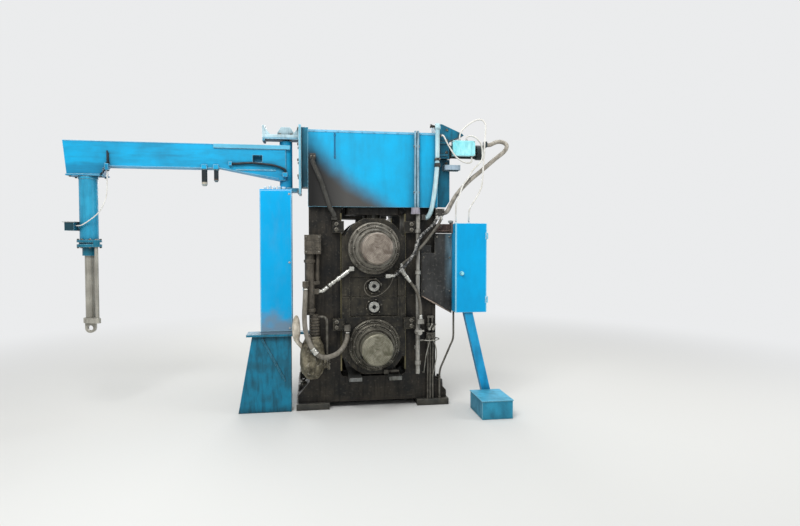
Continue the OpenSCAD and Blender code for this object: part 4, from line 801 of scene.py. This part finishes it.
# ---- Hoses, cables and conduit: rubber hoses clamped at both ends, plain plastic cables and
# the ribbed conduit of the motor. Each follows its route as one smooth curve.
def curve(route, step):
    """Points every step metres along the smooth curve through a route in millimetres."""
    knots = [Vector(p) / 1000 for p in route]
    last = len(knots) - 1
    parts = 24
    fine = []
    for i in range(last):
        a, b, c, d = (knots[min(max(i + k, 0), last)] for k in (-1, 0, 1, 2))
        for k in range(parts):
            t = k / parts
            fine.append(0.5 * (2 * b + (c - a) * t + (2 * a - 5 * b + 4 * c - d) * t * t
                               + (3 * b - a - 3 * c + d) * t * t * t))
    fine.append(knots[last])
    lengths = [0.0]
    for a, b in zip(fine, fine[1:]):
        lengths.append(lengths[-1] + (b - a).length)
    count = max(2, round(lengths[-1] / step))
    points = []
    at = 0
    for i in range(count + 1):
        want = lengths[-1] * i / count
        while at < len(fine) - 2 and lengths[at + 1] < want:
            at += 1
        share = (want - lengths[at]) / (lengths[at + 1] - lengths[at])
        points.append(fine[at].lerp(fine[at + 1], share))
    return points, lengths[-1]


def hose(name, body, diameter, material, route, sides=16, ribs=None):
    """A hose as a closed tube. Its UV map runs round it and along it, in metres. ribs are
    the pitch and depth of the rings of a conduit."""
    step = ribs[0] / 4 if ribs else 0.012
    points, length = curve(route, step)
    last = len(points) - 1
    mesh = bmesh.new()
    layer = mesh.loops.layers.uv.new("UVMap")
    across = None
    rows = []
    for i, point in enumerate(points):
        ahead = points[min(i + 1, last)] - points[max(i - 1, 0)]
        if i == 0:
            ahead = Vector(route[1]) - Vector(route[0])
        if i == last:
            ahead = Vector(route[-1]) - Vector(route[-2])
        ahead.normalize()
        if across is None:
            across = ahead.orthogonal().normalized()
        across = (across - ahead * across.dot(ahead)).normalized()
        radius = diameter / 2
        if ribs:
            radius -= ribs[1] * (1, 0.5, 0, 0.5)[i % 4]
        rows.append(ring(mesh, point, across, ahead.cross(across), radius, sides))
    around = math.pi * diameter / sides
    along = length / last
    for i, (low, high) in enumerate(zip(rows, rows[1:])):
        for k, face in enumerate(skin(mesh, low, high, True)):
            for loop, (u, v) in zip(face.loops, ((k, i), (k + 1, i), (k + 1, i + 1), (k, i + 1))):
                loop[layer].uv = (u * around, v * along)
    mesh.faces.new(reversed(rows[0]))
    mesh.faces.new(rows[-1])
    return settle(name, body, mesh, material)


# Black braid: two sets of strands that cross round the hose, 5 mm apart, with white flecks
# on the strands that are painted highlights, the glints of the wire.
pitch_mm = 5.0
fleck_mm = 30
glint_share = 0.11
lean = math.radians(52)
black_braid = bpy.data.materials.new("black braid, painted white glints")
black_braid.use_nodes = True
tree = black_braid.node_tree
tree.nodes.clear()
where = add(tree, "TexCoord").outputs
strands = []
for angle in (lean, -lean):
    turned = add(tree, "Mapping", {"Vector": where["UV"], "Rotation": (0, 0, angle)})
    strand = add(tree, "TexWave", {"Vector": turned, "Scale": 1000 / pitch_mm / 6.28 * 2},
                 wave_type="BANDS", bands_direction="X")
    strands.append(strand.outputs["Fac"])
weave = add(tree, "Math", {0: strands[0], 1: strands[1]}, operation="MULTIPLY")
# White flecks where the noise is high: painted glints on the strands.
glint_flecks = add(tree, "TexNoise", {
    "Vector": where["Object"], "Scale": 1000 / fleck_mm, "Detail": 5.0, "Roughness": 0.75})
bright = add(tree, "MapRange", {
    "Value": glint_flecks, "From Min": 0.62 - glint_share, "From Max": 0.68 - glint_share})
shown = add(tree, "Math", {0: bright, 1: weave}, operation="MULTIPLY", use_clamp=True)
more = add(tree, "MapRange", {"Value": shown, "From Max": 0.5})
colour = add(tree, "Mix", {0: more, 6: linear("#1b1b1b"), 7: linear("#eceae3")}, data_type="RGBA")
bump = add(tree, "Bump", {"Strength": 0.5, "Distance": 0.001, "Height": weave})
shader = add(tree, "BsdfPrincipled", {"Base Color": colour, "Roughness": 0.5, "Normal": bump})
add(tree, "OutputMaterial", {"Surface": shader})
# Large hose rubber: pale with dust and quite matt, so it stands out from the dark castings.
big_hose_rubber = weathered(
    "dusty grey rubber", "#8a857b #6b665c #34302a #b3ada0", patch=70, run=(20, 90), grime=0.5,
    rough=(0.5, 0.7), edge_wear_and_highlight=0.2)
# Grey rubber: darker, with a greasy half-shine where it is handled.
grey_rubber = weathered(
    "oily grey rubber", "#6f6b62 #56524a #26231e #9f998d", patch=60, run=(16, 80), grime=0.5,
    relief=0.1, edge_wear_and_highlight=0.2)
# Cable jacket: smooth off-white plastic, the cleanest and palest lines on the stand.
cable_jacket = weathered(
    "pale cable jacket", "#e6e4de #cfccc4 #8f8b82 #f6f4ef", patch=90, run=(60, 120), grime=0.15,
    rough=(0.4, 0.55), grain=1, relief=0.02, edge_wear_and_highlight=0.1)
# Conduit jacket: beige plastic, dark between its ribs with dirt and painted shade.
conduit_jacket = weathered(
    "dusty conduit jacket", "#b9b3a7 #8d877c #1a1815 #e0dbd0", patch=80, run=(25, 60), grime=0.5,
    rough=(0.42, 0.6), grain=1.5, relief=0.1, edge_wear_and_highlight=0.5, edge_mm=2, crevice_shade=0.9)
# Black rubber: blue-black and smooth, with a soft shine along its upper side.
black_rubber = weathered(
    "black rubber", "#23303a #1b2227 #0f1112 #5e6a70", patch=60, run=(16, 80), grime=0.4,
    rough=(0.35, 0.5), grain=1.5, relief=0.08, edge_wear_and_highlight=0.2)

# The large hose at the lower left, 45 mm across, from the actuator to the bottom chock.
big_hose = hose("left_hose_tube", "stand", 0.045, big_hose_rubber, [
    (-652, -832, 1197), (-652, -832, 1150), (-656, -846, 1060), (-662, -872, 920), (-650, -900, 790),
    (-604, -914, 660), (-535, -914, 572), (-460, -900, 550), (-365, -880, 577), (-300, -835, 635),
    (-266, -780, 695), (-262, -750, 735), (-262, -750, 767)], sides=24)
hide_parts("left_hose")
# Short hoses of the upper chocks, 28 mm across.
left_short = hose("left_chock_tube", None, 0.028, black_braid, [
    (-380, -745, 1238), (-420, -745, 1208), (-466, -752, 1170), (-500, -760, 1148),
    (-529, -760, 1148)])
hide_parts("left_chock_hose")
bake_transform(left_short)
right_short = hose("right_chock_tube", None, 0.028, grey_rubber, [
    (322, -745, 1260), (352, -745, 1220), (392, -764, 1160), (424, -786, 1080), (440, -792, 970),
    (440, -792, 900), (440, -792, 868)])
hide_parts("right_chock_hose")
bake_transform(right_short)
# The two long hoses to the top chock: one with a black braid, one plain grey.
braid_tube = hose("braided_tube", None, 0.028, black_braid, [
    (612, -735, 1869), (612, -735, 1845), (580, -748, 1790), (520, -768, 1735), (456, -790, 1684),
    (400, -808, 1599), (384, -814, 1529), (330, -815, 1440), (270, -812, 1372), (215, -800, 1315),
    (175, -790, 1290), (145, -790, 1290)])
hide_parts("upper_hoses")
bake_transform(braid_tube)
grey_tube = hose("grey_tube", None, 0.028, grey_rubber, [
    (655, -735, 1869), (655, -735, 1845), (628, -745, 1790), (560, -760, 1699), (484, -774, 1606),
    (412, -778, 1528), (350, -770, 1462), (300, -758, 1425), (264, -745, 1395), (262, -745, 1380),
    (262, -745, 1361)])
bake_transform(grey_tube)
# The thin sensor cable that loops in front of the work rolls, 8 mm across.
loop_tube = hose("loop_tube", "top_set", 0.008, grey_rubber, [
    (239, -750, 1335), (215, -750, 1335), (192, -750, 1312), (175, -750, 1262), (150, -750, 1200),
    (110, -748, 1150), (60, -745, 1112), (10, -745, 1092), (-45, -745, 1096), (-84, -745, 1130),
    (-98, -745, 1176), (-84, -745, 1222), (-45, -745, 1250), (5, -745, 1255), (46, -745, 1232),
    (66, -745, 1190)], sides=10)
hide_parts("loop_cable")
# Cables of the terminal boxes, 15 mm across, and the motor's ribbed conduit, 44 mm.
first_cable = hose("box_cable_1", "stand", 0.015, cable_jacket, [
    (802, -730, 1805), (802, -730, 1840), (806, -730, 1986), (832, -725, 2043), (876, -710, 2162),
    (938, -690, 2243), (991, -670, 2326), (1082, -650, 2421), (1092, -650, 2510), (1076, -648, 2590),
    (1030, -646, 2645), (975, -645, 2664), (938, -645, 2655), (930, -645, 2640), (930, -645, 2625)],
    sides=12)
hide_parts("box_cables")
hose("box_cable_2", "stand", 0.015, cable_jacket, [
    (924, -760, 1805), (924, -760, 1840), (935, -760, 1938), (1008, -755, 2057), (1042, -750, 2121),
    (1065, -742, 2201), (1084, -732, 2471), (1095, -722, 2601), (1109, -700, 2721), (1105, -690, 2786),
    (1068, -672, 2822), (1000, -660, 2808), (920, -650, 2752), (872, -645, 2695), (860, -645, 2650),
    (860, -645, 2625)], sides=12)
hose("box_cable_3", "stand", 0.015, cable_jacket, [
    (650, -735, 2640), (675, -735, 2640), (720, -732, 2560), (798, -722, 2450), (880, -700, 2400),
    (950, -660, 2395), (984, -642, 2412), (985, -640, 2435), (985, -640, 2455)], sides=12)
hose("motor_conduit", "stand", 0.044, conduit_jacket, [
    (1166, -545, 2600), (1205, -545, 2600), (1272, -562, 2628), (1332, -585, 2620), (1363, -600, 2582),
    (1330, -610, 2522), (1239, -620, 2450), (1100, -640, 2335), (946, -660, 2210), (829, -672, 2086),
    (765, -688, 1985), (730, -698, 1922), (706, -700, 1900), (681, -700, 1900)], ribs=(0.011, 0.0022))
# The jib's oil hose at its hub, 22 mm across, and the cable of its limit switch, 10 mm.
jib_tube = hose("jib_hose_tube", "jib", 0.022, black_rubber, [
    (-1334, -562, 2352), (-1300, -562, 2352), (-1149, -565, 2362), (-972, -565, 2347),
    (-885, -563, 2325), (-840, -562, 2302), (-840, -562, 2275)])
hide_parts("jib_hoses")
hose("jib_switch_cable", "jib", 0.01, cable_jacket, [
    (-2440, -562, 2270), (-2440, -562, 2230), (-2446, -566, 2048), (-2480, -572, 1941),
    (-2525, -574, 1869), (-2600, -574, 1805), (-2660, -566, 1768), (-2690, -560, 1760),
    (-2719, -560, 1760)], sides=10)

# ---- Hood pipes and vent pipe: bent steel tube with screwed unions, clamped to the hood and
# the housing. The vent pipe is grey with soot, the other is in pale cyan paint.
# Vent paint: charcoal with soot, nearly as dark as the post, so only its edges stand out.
vent_paint = weathered(
    "sooty grey paint", "#43423e #302f2b #12110f #8d8a80", patch=70, run=(14, 160), edge_mm=2,
    scuff=0.25)
# Pale paint: a clean light cyan with grey runs, the lightest upright on the hood.
pale_paint = weathered(
    "pale cyan pipe paint", "#c6dfe3 #a3ccd6 #34454a #e6f5f8", patch=90, run=(14, 200), grime=0.5,
    rough=(0.34, 0.52), grain=1.5, relief=0.1, edge_mm=2)
hood_tube = hose("hood_pipe_tube", "stand", 0.044, pale_paint, [
    (615, -735, 2735), (615, -735, 2560), (612, -735, 2360), (590, -735, 2120), (562, -735, 1950),
    (546, -728, 1893), (528, -712, 1860), (518, -705, 1850), (499, -705, 1850)], sides=24)
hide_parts("hood_pipes")
hose("vent_pipe_tube", "stand", 0.044, vent_paint, [
    (-578, -735, 2389), (-578, -735, 2365), (-556, -735, 2310), (-493, -735, 2157),
    (-430, -735, 1962), (-396, -735, 1895), (-380, -735, 1862), (-380, -735, 1841)], sides=24)
# The union half-way up the hood pipe, its side nut, and the stub at its head; then its cap.
collar = [(0, 0.026), (0.003, 0.03), (0.033, 0.03), (0.036, 0.026)]
unions = bmesh.new()
lathe(unions, (0.615, -0.735, 2.338), up, collar, 12)
lathe(unions, (0.615, -0.735, 2.64), right, [(0, 0.012), (0.0347, 0.012)], 16)
lathe(unions, (0.6375, -0.735, 2.64), right, [(0, 0.0165), (0.01, 0.0165)], 6)
lathe(unions, (0.615, -0.735, 2.72), (-1, 0, 0.15),
      [(0, 0.013), (0.056, 0.013), (0.058, 0.018), (0.074, 0.018)], 12)
settle("hood_pipe_unions", "stand", unions, vent_paint)
cap = bmesh.new()
lathe(cap, (0.615, -0.735, 2.7), up, collar + [(0.052, 0.026), (0.055, 0.022)], 12)
settle("hood_pipe_cap", "stand", cap, pale_paint)
bars("hood_pipe_blocks", "stand",
     [((0.59, -0.7615, 2.4), (0.64, -0.705, 2.424)),
      ((0.462, -0.735, 1.824), (0.4993, -0.64, 1.876)),
      ((-0.604, -0.76, 2.3893), (-0.552, -0.705, 2.4393)),
      ((-0.406, -0.765, 1.818), (-0.354, -0.64, 1.8407)),
      ((0.592, -0.76, 1.8693), (0.6807, -0.64, 1.9353))], vent_paint, 0.003)
# Screws in pairs: one pair in each clamp, and two in the block at the head of the risers.
pairs = (((0.598, 0.632), -0.7616, 2.412), ((-0.592, -0.564), -0.7602, 2.414),
         ((0.606, 0.667), -0.7602, 1.922), ((0.606, 0.667), -0.7602, 1.883),
         ((0.3885, 0.4335), -0.7392, 2.092), ((0.3885, 0.4335), -0.7392, 2.532))
pipe_spots = [(x, y, z) for pair, y, z in pairs for x in pair]
fasten("pipe_bolts", "stand", facing(front, *pipe_spots), 0.01, 0.006, oiled_bolt, 15)


# ---- Hose ends: pressed ferrules with a hexagon nut, zinc-plated, on each rubber hose, and
# worm-drive bands on the large one. The ends on the upper chocks ride with them.
def ferrules(name, body, ends):
    """Ferrule and nut on the ends of 28 mm hoses, each end given by its point in millimetres
    and the way along the hose."""
    mesh = bmesh.new()
    r = 0.014
    nut = ((0, 1.32), (0.9, 1.32), (1.0, 1.2))
    ferrule = ((0.8, 1.1), (1.1, 1.2), (1.5, 1.2), (1.6, 1.1), (1.8, 1.2), (2.3, 1.2), (2.4, 1.1),
               (2.6, 1.2), (3.0, 1.2), (3.1, 1.04))
    for point, along in ends:
        for profile, sides in ((nut, 6), (ferrule, 20)):
            lathe(mesh, Vector(point) / 1000, along,
                  [(r * far, r * wide) for far, wide in profile], sides)
    settle(name, body, mesh, zinc_fitting)


ferrules("stand_ferrules", "stand", [((-529, -760, 1148), right), ((440, -792, 868), up),
                                     ((612, -735, 1869), down), ((655, -735, 1869), down)])
ferrules("chock_ferrules", "top_set", [
    ((-380, -745, 1238), (-40, 0, -30)), ((322, -745, 1260), (30, 0, -40)),
    ((145, -790, 1290), right), ((262, -745, 1361), up)])
# Two thick couplings on the upper half of the left chock hose.
couplings = bmesh.new()
for at, along in (((-0.386, -0.745, 1.2335), (-40, 0, -30)), ((-0.446, -0.749, 1.187), (-44, -6, -35))):
    lathe(couplings, at, along,
          [(0, 0.0165), (0.002, 0.02), (0.026, 0.02), (0.029, 0.0175), (0.034, 0.0175),
           (0.037, 0.0215), (0.06, 0.0215), (0.063, 0.017)], 20)
chock_couplings = settle("chock_couplings", None, couplings, zinc_fitting)
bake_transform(chock_couplings)
# The pale metal sleeve that joins the large hose's two lengths, where it turns under.
sleeve = bmesh.new()
lathe(sleeve, (-0.5925, -0.9158, 0.6365), (71, 0, -91),
      [(0, 0.024), (0.002, 0.0275), (0.014, 0.0275), (0.016, 0.026), (0.05, 0.026),
       (0.052, 0.0275), (0.066, 0.0275), (0.068, 0.024)], 28)
settle("hose_sleeve", "stand", sleeve, zinc_fitting)
# Bands round both ends of the large hose, each with the housing of its worm screw.
bands = bmesh.new()
for x, y, z in ((-0.652, -0.832, 1.168), (-0.262, -0.75, 0.745)):
    lathe(bands, (x, y, z), up, [(0, 0.0225), (0, 0.0245), (0.013, 0.0245), (0.013, 0.0225)], 28,
          hollow=True)
    lathe(bands, (x - 0.014, y - 0.025, z + 0.0065), right,
          [(0, 0.004), (0.002, 0.0055), (0.022, 0.0055), (0.022, 0.007), (0.028, 0.007)], 8)
settle("hose_bands", "stand", bands, zinc_fitting)

# ---- Small lines low on the right post: bent tube from the manifold to the housing, two
# small valves with lever handles, and smooth covers of the drain line and the elbow.
hose("drain_tube", "stand", 0.0195, line_paint, [
    (797, -665, 985), (797, -665, 950), (797, -667, 800), (794, -668, 660), (760, -670, 575),
    (700, -672, 440), (662, -672, 345), (655, -672, 250), (655, -672, 130), (655, -672, 61)], sides=14)
hose("elbow_tube", "stand", 0.0255, line_paint, [
    (-519, -760, 905), (-490, -760, 905), (-464, -760, 890), (-455, -760, 850), (-455, -760, 740),
    (-455, -760, 600), (-455, -760, 546)], sides=18)
# Stainless tube: dull warm grey metal, lighter than the painted lines behind it.
thin_steel = weathered(
    "dull stainless tube", "#a9a79e #86837a #2b2823 #d3d0c6", patch=40, run=(8, 60), grime=0.5,
    rough=(0.3, 0.48), grain=1, relief=0.08, edge_wear_and_highlight=0.5, edge_mm=1, metallic=0.5)
line_routes = [
    [(542, -715, 668), (542, -722, 650), (530, -735, 600), (508, -722, 500), (500, -700, 400),
     (498, -670, 330), (498, -655, 322), (498, -638, 322)],
    [(580, -715, 668), (580, -724, 650), (600, -740, 600), (610, -738, 500), (596, -715, 380),
     (590, -680, 300), (590, -660, 292), (590, -638, 292)],
    [(472, -735, 655), (490, -748, 655), (540, -756, 652), (596, -752, 654), (632, -734, 658),
     (642, -706, 662), (634, -684, 664), (618, -674, 664), (600, -672, 664)]]
for i, route in enumerate(line_routes):
    hose("small_line_%d" % (i + 1), "stand", 0.01, thin_steel, route, sides=10)
# The valves' bodies with their levers, and a nut at the end of each line.
valves = bmesh.new()
for x in (0.542, 0.58):
    lathe(valves, (x, -0.672, 0.76), front, [(0, 0.017), (0.04, 0.017), (0.044, 0.013), (0.062, 0.011)],
          12)
    lathe(valves, (x, -0.731, 0.76), (0.5, 0, 1),
          [(0, 0.005), (0.004, 0.006), (0.055, 0.0045), (0.06, 0.003)], 8)
for x, z in ((0.498, 0.322), (0.59, 0.292)):
    lathe(valves, (x, -0.66, z), (0, 1, 0), [(0, 0.0075), (0.006, 0.011), (0.022, 0.011)], 6)
lathe(valves, (0.445, -0.735, 0.655), right, [(0, 0.009), (0.022, 0.009), (0.03, 0.0065)], 6)
lathe(valves, (0.6015, -0.672, 0.664), right, [(0, 0.009), (0.016, 0.009), (0.021, 0.0065)], 6)
settle("line_valves", "stand", valves, thin_steel)

# ---- Cable strap on the beam: a dark steel strap round the beam's face, with the cable tail
# that it holds, and the pale plate over the limit switch.
bars("cable_strap", "jib",
     [((-2.447, -0.5535, 2.262), (-2.425, -0.5445, 2.43)),
      ((-2.452, -0.556, 2.33), (-2.42, -0.5445, 2.345))], motor_paint, 0.002)
hose("strap_cable", "jib", 0.014, black_rubber, [
    (-2437, -560, 2448), (-2437, -561, 2425), (-2430, -566, 2380), (-2438, -568, 2330),
    (-2450, -566, 2290), (-2470, -562, 2258), (-2488, -560, 2240), (-2500, -560, 2226)], sides=12)
bars("switch_plate", "jib", [((-2.815, -0.602, 1.7903), (-2.712, -0.446, 1.7973))], nylon)

# ---- Studio: a pale plain floor, a white surround for what the camera and gloss see, and
# large soft lamps in front, above, at the right and behind.
reach = 30
sunk = -0.002
floor_mesh = bpy.data.meshes.new("floor")
floor_mesh.from_pydata([(-reach, -reach, sunk), (reach, -reach, sunk), (reach, reach, sunk),
                        (-reach, reach, sunk)], [], [(0, 1, 2, 3)])
floor = bpy.data.objects.new("floor", floor_mesh)
bpy.context.scene.collection.objects.link(floor)
# Studio floor: matt pale grey that keeps the shadow, fading to white paper further out.
studio_grey = bpy.data.materials.new("pale studio floor")
studio_grey.use_nodes = True
paving = studio_grey.node_tree
paving.nodes.clear()
spot = add(paving, "TexCoord").outputs["Object"]
far = add(paving, "VectorMath", {0: spot}, operation="LENGTH").outputs["Value"]
fade = add(paving, "MapRange", {"Value": far, "From Min": 2.6, "From Max": 7.5},
           interpolation_type="SMOOTHSTEP")
near = add(paving, "BsdfDiffuse", {"Color": linear("#d8d8d5")})
paper = add(paving, "Emission", {"Color": linear("#f6f7f8"), "Strength": 0.9})
both = add(paving, "MixShader", {0: fade, 1: near, 2: paper})
add(paving, "OutputMaterial", {0: both})
floor_mesh.materials.append(studio_grey)

surround = bpy.data.worlds.new("surround")
surround.use_nodes = True
bpy.context.scene.world = surround
sky = surround.node_tree
sky.nodes.clear()
ray = add(sky, "LightPath").outputs
direct = add(sky, "Math", {0: ray["Is Camera Ray"], 1: ray["Is Glossy Ray"]}, operation="MAXIMUM")
seen = add(sky, "Math", {0: direct, 1: ray["Is Transmission Ray"]}, operation="MAXIMUM")
level = add(sky, "MapRange", {"Value": seen, "To Min": 0.42, "To Max": 0.9})
light = add(sky, "Background", {"Color": linear("#f6f7f8"), "Strength": level})
add(sky, "OutputWorld", {"Surface": light})

# Lamps: place, what each faces, width in metres and power in watts.
lamps = (("front lamp", (-2.2, -5.2, 6.4), (0, -0.4, 1.2), 3.5, 380),
         ("top lamp", (0.5, 0.5, 6.5), (0, 0, 1.0), 4.5, 150),
         ("right lamp", (6.5, -3.0, 3.4), (0, 0, 1.3), 3.0, 120),
         ("back lamp", (-1.0, 6.5, 4.5), (0, 0, 1.4), 4.0, 220))
for name, where, target, size, power in lamps:
    lamp = bpy.data.lights.new(name, "AREA")
    lamp.size = size
    lamp.energy = power
    holder = bpy.data.objects.new(name, lamp)
    holder.location = where
    holder.rotation_euler = (Vector(target) - Vector(where)).to_track_quat("-Z", "Y").to_euler()
    bpy.context.scene.collection.objects.link(holder)

bpy.context.scene.view_settings.view_transform = "Standard"
